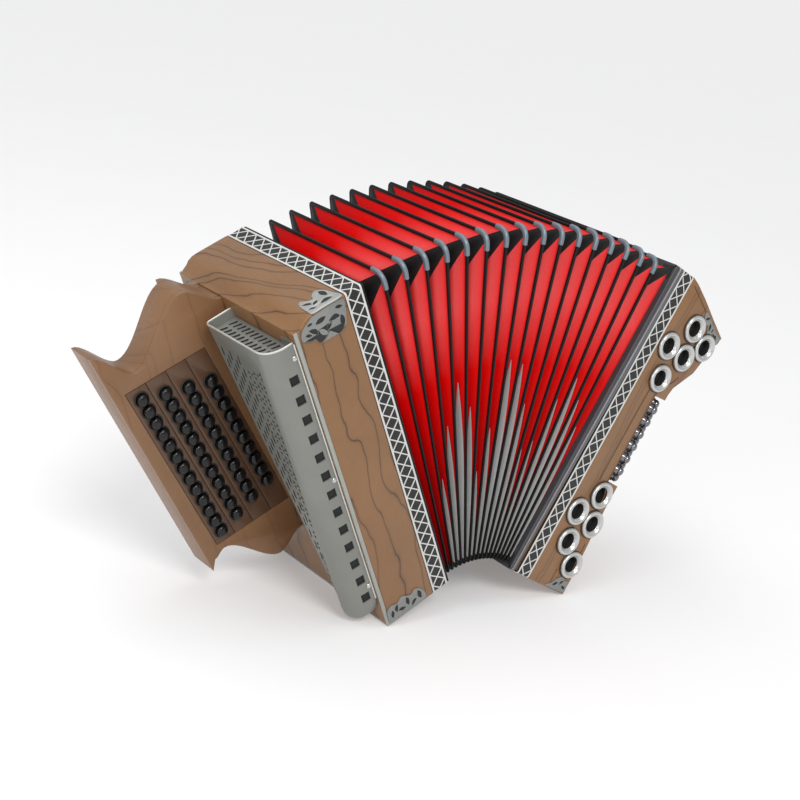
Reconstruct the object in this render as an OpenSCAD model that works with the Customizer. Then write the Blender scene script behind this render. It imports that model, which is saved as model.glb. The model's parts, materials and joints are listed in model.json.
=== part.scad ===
// Button box with a fan-shaped red bellows: treble end with fingerboard and grille, bass end with horns.
// Millimetres. X runs along the bellows, the front faces -Y and Z is up. The bellows stand fanned open.

/* [Size] */
// Height of both wooden casings
casing_h = 363; // [320:1:400]
// Depth of both wooden casings, front to back
casing_d = 198; // [170:1:220]
// Width of the treble end from the bellows to its outer board
treble_w = 82; // [70:1:100]
// Width of the bass end at its foot, bellows frame included
bass_w = 97; // [80:1:110]
// Thickness of the casing boards
board = 8; // [5:0.5:12]

/* [Bellows] */
// Number of outer folds
folds = 16; // [16:1:16]
// Spacing of the folds when the bellows are closed
fold_pitch = 5; // [4.6:0.1:7]
// Angle between the two ends when the bellows are fanned open
fan = 54; // [40:1:60]
// Thickness of one fold edge
fold_t = 3.2; // [2:0.1:3.6]
// Thickness of the metal corner caps
cap_t = 4.2; // [3:0.1:4.4]
// Length of a corner cap along each edge
cap_len = 13; // [8:1:20]
// Depth of one pleat from its crest to its valley
pleat_depth = 19; // [12:1:24]
// Thickness of the pleated card
card_t = 0.9; // [0.6:0.1:1.5]
// Inset of the fold edges from the casing faces
bellows_inset = 4; // [2:0.5:8]

/* [Treble side] */
// Height of the grille above the casing board
grille_h = 30; // [20:1:40]
// Thickness of the grille sheet
grille_t = 1.6; // [1:0.1:3]
// Reach of the fingerboard beyond the casing
finger_reach = 141; // [120:1:160]
// Depth of the fingerboard where it meets the casing
finger_d = 46; // [36:1:56]
// Lean of the button rows
row_lean = 8.5; // [0:0.5:12]
// Spacing of the button rows
row_gap = 22.4; // [20:0.1:26]
// Spacing of the buttons in a row
button_pitch = 15; // [14:0.1:18]
// Diameter of a treble button
button_dia = 12; // [10:0.1:13.4]

/* [Bass side] */
// Width of the grey bellows frame on the bass end
bass_frame_w = 13; // [8:1:20]
// Outside radius of a horn ring
horn_r = 15.5; // [11:0.1:15.5]
// Radius of the throat of a horn
throat_r = 7; // [4:0.1:9]
// Diameter of a bass button
bass_button_dia = 11; // [9:0.1:12]
// Spacing of the bass buttons in a row
bass_pitch = 15; // [14:0.1:15.5]
// Travel of a bass button
bass_travel = 4; // [2:0.1:5]

/* [View] */
// Sub-part to show

/* [Hidden] */
$fn = 32;
gaps = folds + 1;
closed_w = gaps * fold_pitch;
arc_r = closed_w / (fan * PI / 180);
foot_b = sqrt(arc_r * arc_r + bass_w * bass_w);
turn_b = fan + atan(bass_w / arc_r);
lean_t = atan((arc_r - foot_b * cos(turn_b)) / (treble_w + foot_b * sin(turn_b)));
lean_b = fan - lean_t;
centre_z = treble_w * sin(lean_t) - arc_r * cos(lean_t);
shift_x = 61.23;
shift_y = -4.79;
half_d = casing_d / 2;
front = -half_d;
bell_d = casing_d - 2 * bellows_inset;
bell_h = casing_h - 2 * bellows_inset;
run = 0.3;
frame_w = 8;
crest_in = frame_w + run;
valley_in = crest_in + pleat_depth;
treble_frame_w = 3;
inlay_w = 19;
inlay_t = 2;
band_w = 4;
bass_inlay_w = 20;
finger_y = 22;
finger_foot = 58;
grille_top = 345;
grille_foot = 14;
grille_back_top = 9;
grille_back_foot = -76;
grille_back_z = 34;
pierced_squares = 13;
square_step = 22;
lane_step = 26;
pocket_d = 16;
panel_t = 3;
row_z = 213;
row_first = 96;
row_counts = [13, 12, 11, 10];
panel_top = 315;
panel_foot = 110;
stem_r = 2.2;
bass_flat_u = 90;
bass_flat_top = casing_h - 120;
bass_flat_foot = casing_h - 250;
bass_row_z = 184;
bass_row_gap = 11.6;
bevel_w = 18;
bevel_foot = 131;
bevel_top = 237;
air_y = front + 54;
air_z = bass_flat_top - 10;
bass_block_y = [-22, 32];
bass_block_d = 24;
bass_block_u = 20;
strap_y = 20;
strap_w = 60;
strap_in = 4;
horn_places = [
  [74, casing_h - 44],
  [49.5, casing_h - 75],
  [81, casing_h - 76.5],
  [104, casing_h - 55],
  [63, casing_h - 109],
  [72, 114],
  [50, 87],
  [82, 82],
  [60, 54],
  [84, 33],
];
fitting_t = 0.8;

// Places children drawn with x outward from the bellows, y back and z up the casing
module on_treble() {
  translate([shift_x, shift_y, centre_z])
    rotate([0, -lean_t, 0])
      translate([0, 0, arc_r])
        mirror([1, 0, 0])
          children();
}

module on_bass() {
  translate([shift_x, shift_y, centre_z])
    rotate([0, lean_b, 0])
      translate([0, 0, arc_r])
        children();
}

module on_fold(i) {
  translate([shift_x, shift_y, centre_z])
    rotate([0, -lean_t + fan * i / gaps, 0])
      translate([0, 0, arc_r])
        children();
}

// Outline in x and z carried from y0 to y1
module slab(points, y0, y1) {
  translate([0, y1, 0])
    rotate([90, 0, 0])
      linear_extrude(y1 - y0)
        polygon(points);
}

// Block from a low corner to a high corner
module block(a, b) {
  translate(a)
    cube([b[0] - a[0], b[1] - a[1], b[2] - a[2]]);
}

// Frame around the casing depth and height between two distances from the bellows
module ring(u0, u1, inset, w) {
  difference() {
    block([u0, front + inset, inset], [u1, half_d - inset, casing_h - inset]);
    block([u0 - 1, front + inset + w, inset + w], [u1 + 1, half_d - inset - w, casing_h - inset - w]);
  }
}

// Lowest height at which a lane of pallets that ends at y is still covered by the grille
function lane_foot(y) = grille_back_z
  + max(0, y + 6 - grille_back_foot) * (grille_top - grille_back_z) / (grille_back_top - grille_back_foot);

// Smooth step used for the scrolled ends of the fingerboard
function ease(t) = t * t * (3 - 2 * t);
function span(a, b, n) = [for (k = [1:n]) [a[0] + (b[0] - a[0]) * k / n, a[1] + (b[1] - a[1]) * ease(k / n)]];

treble_profile = concat(
  [[treble_frame_w, 0], [treble_w, 0], [treble_w, casing_h - 9]],
  [[treble_w - 4, casing_h - 8.6], [treble_w - 9, casing_h - 6], [treble_w - 13, casing_h - 2.4]],
  [[treble_w - 18, casing_h - 0.5], [treble_w - 24, casing_h], [treble_frame_w, casing_h]]
);

module treble_outer() {
  slab(treble_profile, front, half_d);
}

module treble_casing() {
  color("peru")
    on_treble()
      difference() {
        treble_outer();
        block(
          [treble_frame_w - 1, front + board, board],
          [treble_w - board, half_d - board, casing_h - board - 3]
        );
        ring(treble_frame_w, treble_frame_w + inlay_w, 0, inlay_t);
        ring(treble_w - band_w, treble_w + 1, -1, 3);
        for (r = [0:2])
          block(
            [treble_w - board - 1, front + 16 + lane_step * r, max(60, lane_foot(front + 27 + lane_step * r))],
            [treble_w + 1, front + 24 + lane_step * r, 304]
          );
      }
}

module treble_inlay_band() {
  color("gainsboro")
    on_treble()
      ring(treble_frame_w, treble_frame_w + inlay_w, 0, inlay_t);
}

module treble_edge_band() {
  color("darkgray")
    on_treble()
      intersection() {
        treble_outer();
        ring(treble_w - band_w, treble_w, 0, 2);
      }
}

// Pierced plate on the front face and its flange on the top face
module corner_plate(u0, u1, z0, z1, step) {
  slab(
    [
      [u0, z0 + step],
      [u0 + step * 0.5, z0],
      [u0 + step * 1.6, z0 + step * 0.4],
      [u1 - step * 1.1, z0],
      [u1, z0 + step * 0.7],
      [u1, z1],
      [u0, z1],
    ],
    front - fitting_t, front
  );
}

module treble_corner_fittings() {
  color("silver")
    on_treble() {
      difference() {
        corner_plate(treble_w - 56, treble_w - 6, casing_h - 30, casing_h - 6.5, 8);
        for (k = [0:3])
          translate([treble_w - 49 + 11 * k, front + 1, casing_h - 14])
            rotate([90, 0, 0])
              cylinder(h = 3, r = 2.4, $fn = 6);
      }
      difference() {
        block([treble_w - 56, front - fitting_t, casing_h], [treble_w - 24, front + 26, casing_h + fitting_t]);
        for (k = [0:2])
          translate([treble_w - 50 + 10 * k, front + 12, casing_h - 1])
            cylinder(h = 3, r = 2.6, $fn = 6);
      }
      block([treble_w - 56, front - fitting_t, casing_h - 7], [treble_w - 24, front, casing_h + fitting_t]);
      difference() {
        block([treble_w - 50, front - fitting_t, 1], [treble_w - 3, front, 20]);
        for (k = [0:3])
          translate([treble_w - 43 + 11 * k, front + 1, 11])
            rotate([90, 0, 0])
              cylinder(h = 3, r = 2.6, $fn = 6);
      }
    }
}

module treble_bellows_frame() {
  color("dimgray")
    on_treble()
      ring(0, treble_frame_w, 1, 14);
}

// Grille body swelled inward by t; the front edge is rounded and both ends taper to the casing
module grille_form(t) {
  r = 20;
  top = grille_top - t * 0.4;
  intersection() {
    translate([0, 0, grille_foot - 4])
      linear_extrude(grille_top)
        union() {
          translate([treble_w + grille_h - r, front + 4 + r])
            circle(r = r - t, $fn = 64);
          translate([treble_w, front + 4 + t])
            square([grille_h - r, r]);
          translate([treble_w, front + 4 + r])
            square([grille_h - t, half_d]);
        }
    slab(
      [
        [treble_w - t, top],
        [treble_w + grille_h + 1, top],
        [treble_w + grille_h + 1, grille_foot + 24 + t],
        [treble_w + grille_h - 1 - t, grille_foot + 9 + t],
        [treble_w + grille_h - 5 - t, grille_foot + 3 + t],
        [treble_w + grille_h - 10, grille_foot + t],
        [treble_w + grille_h - 15, grille_foot + 1 + t],
        [treble_w - t, grille_foot + 10 + t],
      ],
      front, half_d
    );
    translate([treble_w - 2, 0, 0])
      rotate([90, 0, 90])
        linear_extrude(grille_h + 4)
          polygon([
            [front, 0],
            [grille_back_foot - t, 0],
            [grille_back_foot - t, grille_back_z],
            [grille_back_top - t, grille_top],
            [front, grille_top],
          ]);
  }
}

module grille() {
  color("silver")
    on_treble()
      difference() {
        grille_form(0);
        translate([0, 0, 3])
          grille_form(grille_t);
        for (k = [0:pierced_squares - 1])
          translate([treble_w + 7.2, front, 42 + square_step * k])
            cube([7, 12, 7]);
        for (m = [0:8])
          let (y = front + 30 + 8 * m, z = max(60, lane_foot(y + 8)))
            translate([treble_w + grille_h - 4, y, z])
              cube([8, 3, 325 - z]);
      }
}

module grille_top_louvre() {
  color("silver")
    on_treble()
      difference() {
        intersection() {
          translate([0, 0, 3])
            grille_form(grille_t + 0.1);
          block([treble_w, front, grille_top - 9], [treble_w + grille_h, half_d, grille_top - 7]);
        }
        for (m = [0:9])
          for (k = [0:1])
            translate([treble_w + 4 + 12 * k, front + 20 + 8 * m, grille_top - 12])
              cube([7, 3, 8]);
      }
}

module grille_screws() {
  color("gray")
    on_treble()
      for (z = [56, 190, 330])
        translate([treble_w + 4, front + 4, z])
          rotate([90, 0, 0])
            cylinder(h = 1.2, r = 2.6);
}

// Places a pallet at each position that the grille covers
module at_pallets() {
  for (r = [0:2])
    for (k = [0:9])
      let (y = front + 13 + lane_step * r, z = 64 + 24 * k)
        if (z > lane_foot(y + 14))
          translate([treble_w, y, z])
            children();
}

module treble_pallets() {
  color("tan")
    on_treble()
      at_pallets()
        cube([4, 14, 18]);
}

module treble_levers() {
  color("silver")
    on_treble() {
      for (r = [0:2])
        let (z = max(64, lane_foot(front + 27 + lane_step * r)))
          translate([treble_w + 7, front + 20 + lane_step * r, z])
            cylinder(h = 304 - z, r = 1.5);
      at_pallets()
        translate([4, 6, 6])
          cube([4, 2, 6]);
    }
}

module treble_reed_blocks() {
  color("burlywood")
    on_treble()
      for (y = [-60, -8, 44])
        translate([treble_w - board - 42, y - 9, 40])
          cube([42, 18, 280]);
}

module treble_reed_plates() {
  color("lightgray")
    on_treble()
      for (y = [-60, -8, 44])
        for (k = [0:11])
          for (s = [-1, 1])
            translate([treble_w - board - 39, y + s * 9 + (s < 0 ? -1.5 : 0), 46 + 22.6 * k])
              cube([34, 1.5, 18]);
}

finger_top = concat(
  [[0, 352]],
  span([0, 352], [38, 378], 6),
  span([38, 378], [104, 329], 10),
  span([104, 329], [finger_reach, 365], 6)
);
finger_bottom = concat(
  [[105, 85]],
  [[99, 96]],
  span([99, 96], [86, 102], 3),
  span([86, 102], [30, finger_foot - 2], 9),
  span([30, finger_foot - 2], [0, 70], 5)
);

module finger_outline() {
  translate([treble_w, 0])
    polygon(concat(finger_top, finger_bottom));
}

module finger_shape() {
  translate([0, finger_y + finger_d, 0])
    rotate([90, 0, 0])
      linear_extrude(finger_d)
        finger_outline();
}

// Leaning strip of the button panel between two offsets across the rows
module leaning(a0, a1, z0, z1, y0, y1) {
  s = tan(row_lean);
  slab(
    [
      [treble_w + a0 + (z0 - row_z) * s, z0],
      [treble_w + a1 + (z0 - row_z) * s, z0],
      [treble_w + a1 + (z1 - row_z) * s, z1],
      [treble_w + a0 + (z1 - row_z) * s, z1],
    ],
    y0, y1
  );
}

panel_in = row_first - 3.5 * row_gap;
panel_out = row_first + 0.5 * row_gap;

module fingerboard() {
  color("peru")
    on_treble()
      difference() {
        finger_shape();
        leaning(panel_in, panel_out, panel_foot, panel_top, finger_y - 1, finger_y + panel_t);
        leaning(
          panel_in + 3, panel_out - 3, panel_foot + 3, panel_top - 3,
          finger_y + panel_t - 1, finger_y + panel_t + pocket_d
        );
        slab(
          [
            [treble_w + 40, 0],
            [treble_w + 200, 0],
            [treble_w + 200, 420],
            [treble_w + 40, 420],
          ],
          finger_y + finger_d - 8, finger_y + finger_d + 1
        );
      }
}

// Drills or buttons of one row: children placed at each button centre on the panel face
module at_buttons(row) {
  n = row_counts[row];
  for (k = [0:n - 1])
    translate([
      treble_w + row_first - row * row_gap + (k - (n - 1) / 2) * button_pitch * sin(row_lean),
      finger_y,
      row_z + (k - (n - 1) / 2) * button_pitch * cos(row_lean)
    ])
      rotate([90, 0, 0])
        children();
}

module button_panel() {
  color("saddlebrown")
    on_treble()
      difference() {
        union() {
          for (r = [0:3])
            leaning(
              row_first - (r + 0.5) * row_gap + 0.3, row_first - (r - 0.5) * row_gap - 0.3,
              panel_foot, panel_top, finger_y + 0.4, finger_y + panel_t
            );
          leaning(panel_in, panel_out, panel_foot, panel_top, finger_y + 1.6, finger_y + panel_t);
        }
        for (r = [0:3])
          at_buttons(r)
            translate([0, 0, -panel_t - 1])
              cylinder(h = panel_t + 2, r = button_dia / 2 + run);
      }
}

// Domed buttons on stems that stand on one hidden rail
module button_row(row) {
  n = row_counts[row];
  reach = (n - 1) / 2 * button_pitch;
  color("black")
    on_treble() {
      at_buttons(row) {
        translate([0, 0, -panel_t - 2])
          cylinder(h = panel_t + 2 + 5, r = button_dia / 2);
        translate([0, 0, 5])
          cylinder(h = 1.6, r1 = button_dia / 2, r2 = button_dia / 2 - 1.8);
        translate([0, 0, -panel_t - 8])
          cylinder(h = 7, r = stem_r);
      }
      leaning(
        row_first - row * row_gap - 3, row_first - row * row_gap + 3,
        row_z - reach * cos(row_lean) - 3, row_z + reach * cos(row_lean) + 3,
        finger_y + panel_t + 6, finger_y + panel_t + 9
      );
    }
}

module treble_buttons_row_1() { button_row(0); }
module treble_buttons_row_2() { button_row(1); }
module treble_buttons_row_3() { button_row(2); }
module treble_buttons_row_4() { button_row(3); }

module shoulder_strap_eyes() {
  color("silver")
    on_treble()
      for (z = [48, casing_h - 48])
        translate([treble_w / 2, half_d, z]) {
          translate([-9, 0, -14])
            cube([18, 1.5, 28]);
          translate([0, 7, 0])
            rotate([0, 90, 0])
              difference() {
                cylinder(h = 4, r = 7, center = true);
                cylinder(h = 6, r = 4, center = true);
              }
        }
}

// One fold edge: a taped frame with four metal corner caps
module fold(i) {
  lip = 0.6;
  color("black")
    on_fold(i) {
      translate([-fold_t / 2, 0, 0])
        ring(0, fold_t, bellows_inset, frame_w);
      for (y = [0, 1])
        for (z = [0, 1])
          translate([
            -cap_t / 2,
            y * (bell_d - cap_len + 2 * lip) - bell_d / 2 - lip,
            bellows_inset + z * (bell_h - cap_len + 2 * lip) - lip
          ])
            difference() {
              cube([cap_t, cap_len, cap_len]);
              translate([-1, (1 - 2 * y) * frame_w, (1 - 2 * z) * frame_w])
                cube([cap_t + 2, cap_len, cap_len]);
            }
    }
}

module fold_01() { fold(1); }
module fold_02() { fold(2); }
module fold_03() { fold(3); }
module fold_04() { fold(4); }
module fold_05() { fold(5); }
module fold_06() { fold(6); }
module fold_07() { fold(7); }
module fold_08() { fold(8); }
module fold_09() { fold(9); }
module fold_10() { fold(10); }
module fold_11() { fold(11); }
module fold_12() { fold(12); }
module fold_13() { fold(13); }
module fold_14() { fold(14); }
module fold_15() { fold(15); }
module fold_16() { fold(16); }

// Pleated card: one closed zigzag tube from the treble frame to the bass frame
stations = 2 * gaps;
function skin_phi(k) = -lean_t + fan * k / stations;
function skin_in(k) = k % 2 == 0 ? crest_in : valley_in;
function skin_u(k) = k == 0 ? 0.05 : (k == stations ? -run : 0);
function skin_point(k, inset, c) = let (
  d = bell_d / 2 - inset,
  y = c == 0 || c == 3 ? -d : d,
  h = c < 2 ? bellows_inset + inset : casing_h - bellows_inset - inset,
  r = arc_r + h,
  p = skin_phi(k)
) [
  shift_x + r * sin(p) + skin_u(k) * cos(p),
  shift_y + y,
  centre_z + r * cos(p) - skin_u(k) * sin(p)
];
skin_points = [
  for (k = [0:stations])
    for (layer = [0, 1])
      for (c = [0:3])
        skin_point(k, skin_in(k) + layer * card_t, c)
];
function at(k, layer, c) = k * 8 + layer * 4 + c % 4;
skin_faces = concat(
  [for (k = [0:stations - 1]) for (c = [0:3]) [at(k, 0, c), at(k, 0, c + 1), at(k + 1, 0, c + 1)]],
  [for (k = [0:stations - 1]) for (c = [0:3]) [at(k, 0, c), at(k + 1, 0, c + 1), at(k + 1, 0, c)]],
  [for (k = [0:stations - 1]) for (c = [0:3]) [at(k, 1, c), at(k + 1, 1, c + 1), at(k, 1, c + 1)]],
  [for (k = [0:stations - 1]) for (c = [0:3]) [at(k, 1, c), at(k + 1, 1, c), at(k + 1, 1, c + 1)]],
  [for (c = [0:3]) [at(0, 0, c), at(0, 1, c), at(0, 1, c + 1)]],
  [for (c = [0:3]) [at(0, 0, c), at(0, 1, c + 1), at(0, 0, c + 1)]],
  [for (c = [0:3]) [at(stations, 0, c), at(stations, 1, c + 1), at(stations, 1, c)]],
  [for (c = [0:3]) [at(stations, 0, c), at(stations, 0, c + 1), at(stations, 1, c + 1)]]
);

module bellows_skin() {
  color("red")
    polyhedron(points = skin_points, faces = skin_faces);
}

module bass_bellows_frame() {
  color("dimgray")
    on_bass()
      ring(0, bass_frame_w, 0, 18);
}

// Side profile of the bass casing with its scooped outer edge
bass_profile = [
  [bass_frame_w, 0],
  [bass_w, 0],
  [bass_w, 20],
  [bass_w - 3, 60],
  [bass_flat_u, bass_flat_foot - 10],
  [bass_flat_u, bass_flat_foot],
  [bass_flat_u, bass_flat_top],
  [bass_flat_u + 2, bass_flat_top + 10],
  [bass_w + 13, casing_h - 84],
  [bass_w + 22, casing_h - 47],
  [bass_w + 27, casing_h - 35],
  [bass_w, casing_h - 24],
  [bass_w - 28, casing_h - 12],
  [bass_w - 52, casing_h - 3],
  [bass_frame_w + bass_inlay_w, casing_h],
  [bass_frame_w, casing_h],
];

// Wedge of the front outer edge at least t deep, which the button rows stand on when t is 0
module edge_wedge(t, z0, z1) {
  reach = bevel_w + t * sqrt(2);
  translate([0, 0, z0])
    linear_extrude(z1 - z0)
      polygon([
        [bass_flat_u - reach, front - 1],
        [bass_flat_u - reach, front],
        [bass_flat_u, front + reach],
        [bass_flat_u + 20, front + reach + 20],
        [bass_flat_u + 20, front - 1],
      ]);
}

module bass_outer() {
  difference() {
    slab(bass_profile, front, half_d);
    edge_wedge(0, bevel_foot, bevel_top);
  }
}

module bass_casing() {
  color("peru")
    on_bass()
      difference() {
        bass_outer();
        difference() {
          block(
            [bass_frame_w - 1, front + board, board],
            [bass_flat_u - board, half_d - board, casing_h - board - 14]
          );
          edge_wedge(board, bevel_foot - board, bevel_top + board);
        }
        ring(bass_frame_w, bass_frame_w + bass_inlay_w, 0, inlay_t);
        for (p = horn_places)
          translate([p[0], front + board + 1, p[1]])
            rotate([90, 0, 0])
              cylinder(h = board + 2, r = throat_r + 2);
        for (k = [0:12])
          at_bass_button(k)
            translate([0, 0, -board - 1])
              cylinder(h = board + 2, r = bass_button_dia / 2 - 2 + run);
        at_air_button()
          translate([0, 0, -board - 1])
            cylinder(h = board + 2, r = bass_button_dia / 2 - 2 + run);
      }
}

module bass_inlay_band() {
  color("gainsboro")
    on_bass()
      intersection() {
        bass_outer();
        ring(bass_frame_w, bass_frame_w + bass_inlay_w, 0, inlay_t);
      }
}

module bass_corner_fittings() {
  color("silver")
    on_bass() {
      difference() {
        slab(
          [
            [bass_w - 14, casing_h - 19],
            [bass_w + 4, casing_h - 27],
            [bass_w + 26, casing_h - 36],
            [bass_w + 22, casing_h - 46],
            [bass_w + 14, casing_h - 40],
            [bass_w + 3, casing_h - 36],
            [bass_w - 6, casing_h - 31],
          ],
          front - fitting_t, front
        );
        horn_clearance();
      }
      difference() {
        slab(
          [[bass_w - 34, 2], [bass_w - 2, 2], [bass_w - 2, 14], [bass_w - 16, 19]],
          front - fitting_t, front
        );
        horn_clearance();
        translate([bass_w - 14, front + 1, 9])
          rotate([90, 0, 0])
            cylinder(h = 3, r = 3, $fn = 6);
      }
    }
}

// Room for the horn rings in the plates beside them
module horn_clearance() {
  for (p = horn_places)
    translate([p[0], front + 1, p[1]])
      rotate([90, 0, 0])
        cylinder(h = 3, r = horn_r + run);
}

module bass_horns() {
  color("white")
    on_bass()
      for (p = horn_places)
        translate([p[0], front, p[1]])
          rotate([90, 0, 0])
            rotate_extrude($fn = 48)
              polygon([
                [throat_r, -board],
                [throat_r + 2, -board],
                [throat_r + 2, 0],
                [horn_r, 0],
                [horn_r, 2],
                [horn_r - 1.5, 4],
                [horn_r - 3.5, 4.4],
                [horn_r - 5.2, 3],
                [throat_r, -1],
              ]);
}

module bass_reed_block() {
  color("burlywood")
    on_bass()
      for (y = bass_block_y)
        translate([bass_frame_w + bass_block_u, y - bass_block_d / 2, 50])
          cube([bass_flat_u - board - bass_frame_w - bass_block_u, bass_block_d, 250]);
}

module bass_reed_plates() {
  color("lightgray")
    on_bass()
      for (y = bass_block_y)
        for (k = [0:7])
          for (s = [-1, 1])
            translate([bass_frame_w + bass_block_u + 4, y + s * bass_block_d / 2 + (s < 0 ? -2 : 0), 58 + 30 * k])
              cube([40, 2, 24]);
}

// Bass buttons stand on the slanting edge in a front row of six and a back row of seven
module at_bass_button(k) {
  first = k < 6;
  n = first ? 6 : 7;
  j = first ? k : k - 6;
  along = bevel_w / 2 + (first ? -1 : 1) * bass_row_gap / 2 * sqrt(0.5);
  translate([
    bass_flat_u - bevel_w + along,
    front + along,
    bass_row_z + (j - (n - 1) / 2) * bass_pitch
  ])
    rotate([0, 0, -45])
      rotate([0, 90, 0])
        children();
}

module at_air_button() {
  translate([bass_flat_u, air_y, air_z])
    rotate([0, 90, 0])
      children();
}

module push_button() {
  translate([0, 0, -board - 2])
    cylinder(h = board + 2 + bass_travel + 1, r = bass_button_dia / 2 - 2);
  translate([0, 0, bass_travel + 0.6])
    cylinder(h = 4, r = bass_button_dia / 2);
  translate([0, 0, bass_travel + 4.6])
    cylinder(h = 1.4, r1 = bass_button_dia / 2, r2 = bass_button_dia / 2 - 1.6);
}

module bass_button(k) {
  color("gray")
    on_bass()
      at_bass_button(k)
        push_button();
}

module bass_button_01() { bass_button(0); }
module bass_button_02() { bass_button(1); }
module bass_button_03() { bass_button(2); }
module bass_button_04() { bass_button(3); }
module bass_button_05() { bass_button(4); }
module bass_button_06() { bass_button(5); }
module bass_button_07() { bass_button(6); }
module bass_button_08() { bass_button(7); }
module bass_button_09() { bass_button(8); }
module bass_button_10() { bass_button(9); }
module bass_button_11() { bass_button(10); }
module bass_button_12() { bass_button(11); }
module bass_button_13() { bass_button(12); }

module air_button() {
  color("silver")
    on_bass()
      at_air_button()
        push_button();
}

module strap_form() {
  slab(
    [
      [bass_flat_u + 12, 70],
      [bass_flat_u + 15, 70],
      [bass_flat_u + 31, 140],
      [bass_flat_u + 31, 235],
      [bass_flat_u + 24, 276],
      [bass_flat_u + 21, 276],
      [bass_flat_u + 28, 235],
      [bass_flat_u + 28, 140],
    ],
    strap_y, strap_y + strap_w
  );
}

module hand_strap() {
  color("saddlebrown")
    on_bass()
      strap_form();
}

// Two bars that carry the strap clear of the casing
module hand_strap_anchors() {
  color("silver")
    on_bass()
      difference() {
        union() {
          block([bass_flat_u - 2, strap_y + strap_in, 66], [bass_flat_u + 12, strap_y + strap_w - strap_in, 76]);
          block([bass_flat_u + 10, strap_y + strap_in, 270], [bass_flat_u + 22, strap_y + strap_w - strap_in, 279]);
        }
        bass_outer();
        strap_form();
      }
}

treble_casing();
treble_inlay_band();
treble_edge_band();
treble_corner_fittings();
treble_bellows_frame();
grille();
grille_top_louvre();
grille_screws();
treble_pallets();
treble_levers();
treble_reed_blocks();
treble_reed_plates();
fingerboard();
button_panel();
treble_buttons_row_1();
treble_buttons_row_2();
treble_buttons_row_3();
treble_buttons_row_4();
shoulder_strap_eyes();
fold_01();
fold_02();
fold_03();
fold_04();
fold_05();
fold_06();
fold_07();
fold_08();
fold_09();
fold_10();
fold_11();
fold_12();
fold_13();
fold_14();
fold_15();
fold_16();
bellows_skin();
bass_bellows_frame();
bass_casing();
bass_inlay_band();
bass_corner_fittings();
bass_horns();
bass_reed_block();
bass_reed_plates();
bass_button_01();
bass_button_02();
bass_button_03();
bass_button_04();
bass_button_05();
bass_button_06();
bass_button_07();
bass_button_08();
bass_button_09();
bass_button_10();
bass_button_11();
bass_button_12();
bass_button_13();
air_button();
hand_strap();
hand_strap_anchors();
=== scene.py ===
import json
import math

import bpy
import bmesh
from mathutils import Vector, Matrix
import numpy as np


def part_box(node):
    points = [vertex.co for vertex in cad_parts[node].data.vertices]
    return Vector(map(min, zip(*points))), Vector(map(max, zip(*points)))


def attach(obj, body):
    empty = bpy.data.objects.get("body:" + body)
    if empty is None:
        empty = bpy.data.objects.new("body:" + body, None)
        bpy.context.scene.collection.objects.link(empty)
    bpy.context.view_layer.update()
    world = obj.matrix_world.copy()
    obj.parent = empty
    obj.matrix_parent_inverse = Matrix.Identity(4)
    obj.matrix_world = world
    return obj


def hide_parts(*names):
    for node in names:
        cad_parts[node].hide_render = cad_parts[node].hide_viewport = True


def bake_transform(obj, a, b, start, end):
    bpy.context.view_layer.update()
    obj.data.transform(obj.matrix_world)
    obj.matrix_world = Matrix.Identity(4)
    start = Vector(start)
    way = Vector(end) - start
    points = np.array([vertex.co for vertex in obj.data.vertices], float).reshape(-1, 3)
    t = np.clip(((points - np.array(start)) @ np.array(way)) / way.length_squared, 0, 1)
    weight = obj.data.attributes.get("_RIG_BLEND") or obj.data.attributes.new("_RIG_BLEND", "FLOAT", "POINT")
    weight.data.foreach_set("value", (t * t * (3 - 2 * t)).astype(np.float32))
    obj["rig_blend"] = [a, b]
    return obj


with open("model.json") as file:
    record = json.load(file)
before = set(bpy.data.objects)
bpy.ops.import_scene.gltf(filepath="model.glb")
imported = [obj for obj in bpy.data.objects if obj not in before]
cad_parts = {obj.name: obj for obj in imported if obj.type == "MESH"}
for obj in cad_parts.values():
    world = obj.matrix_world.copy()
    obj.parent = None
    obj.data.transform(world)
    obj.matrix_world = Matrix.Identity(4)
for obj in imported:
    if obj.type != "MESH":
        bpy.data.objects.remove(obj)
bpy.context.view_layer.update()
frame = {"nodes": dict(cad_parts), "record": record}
nodes = frame["nodes"]
record = frame["record"]
MM = 0.001


def cosd(a):
    return math.cos(math.radians(a))


def sind(a):
    return math.sin(math.radians(a))


# ---------------------------------------------------------------- local frames
mount = {m["name"]: m for m in record["mounts"]}
joint = {j["name"]: j for j in record["behaviour"]["joints"]}
t_out = Vector(mount["strap_eye_upper"]["axis"]).normalized()
b_out = -Vector(joint["air_button_press"]["axis"]).normalized()
t_up = Vector((t_out.z, 0, -t_out.x))
b_up = Vector((-b_out.z, 0, b_out.x))
back = Vector((0, 1, 0))


def reach(node, axis, low=True):
    vals = [v.co.dot(axis) for v in nodes[node].data.vertices]
    return min(vals) if low else max(vals)


lo_c, hi_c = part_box("treble_casing")
mid_y = (lo_c[1] + hi_c[1]) / 2
D = (hi_c[1] - lo_c[1]) / MM
HD = D / 2


def corner(out, up, frame_node, casing):
    """Point where the inner face of a bellows frame meets the foot of its casing."""
    p = out * reach(frame_node, out) + up * reach(casing, up)
    return Vector((p.x, mid_y, p.z))


t_org = corner(t_out, t_up, "treble_bellows_frame", "treble_casing")
b_org = corner(b_out, b_up, "bass_bellows_frame", "bass_casing")
H = (reach("treble_casing", t_up, False) - reach("treble_casing", t_up)) / MM
TW = (reach("treble_casing", t_out, False) - reach("treble_bellows_frame", t_out)) / MM
# arc centre: where the two inner planes meet
k = (b_org - t_org).dot(b_out) / t_up.dot(b_out)
arc_c = t_org + t_up * k
ARC_R = -k / MM
lean_t = math.atan2(-t_up.x, t_up.z)
lean_b = math.atan2(b_up.x, b_up.z)
FAN = lean_t + lean_b
FOLDS = 16
GAPS = FOLDS + 1


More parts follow.
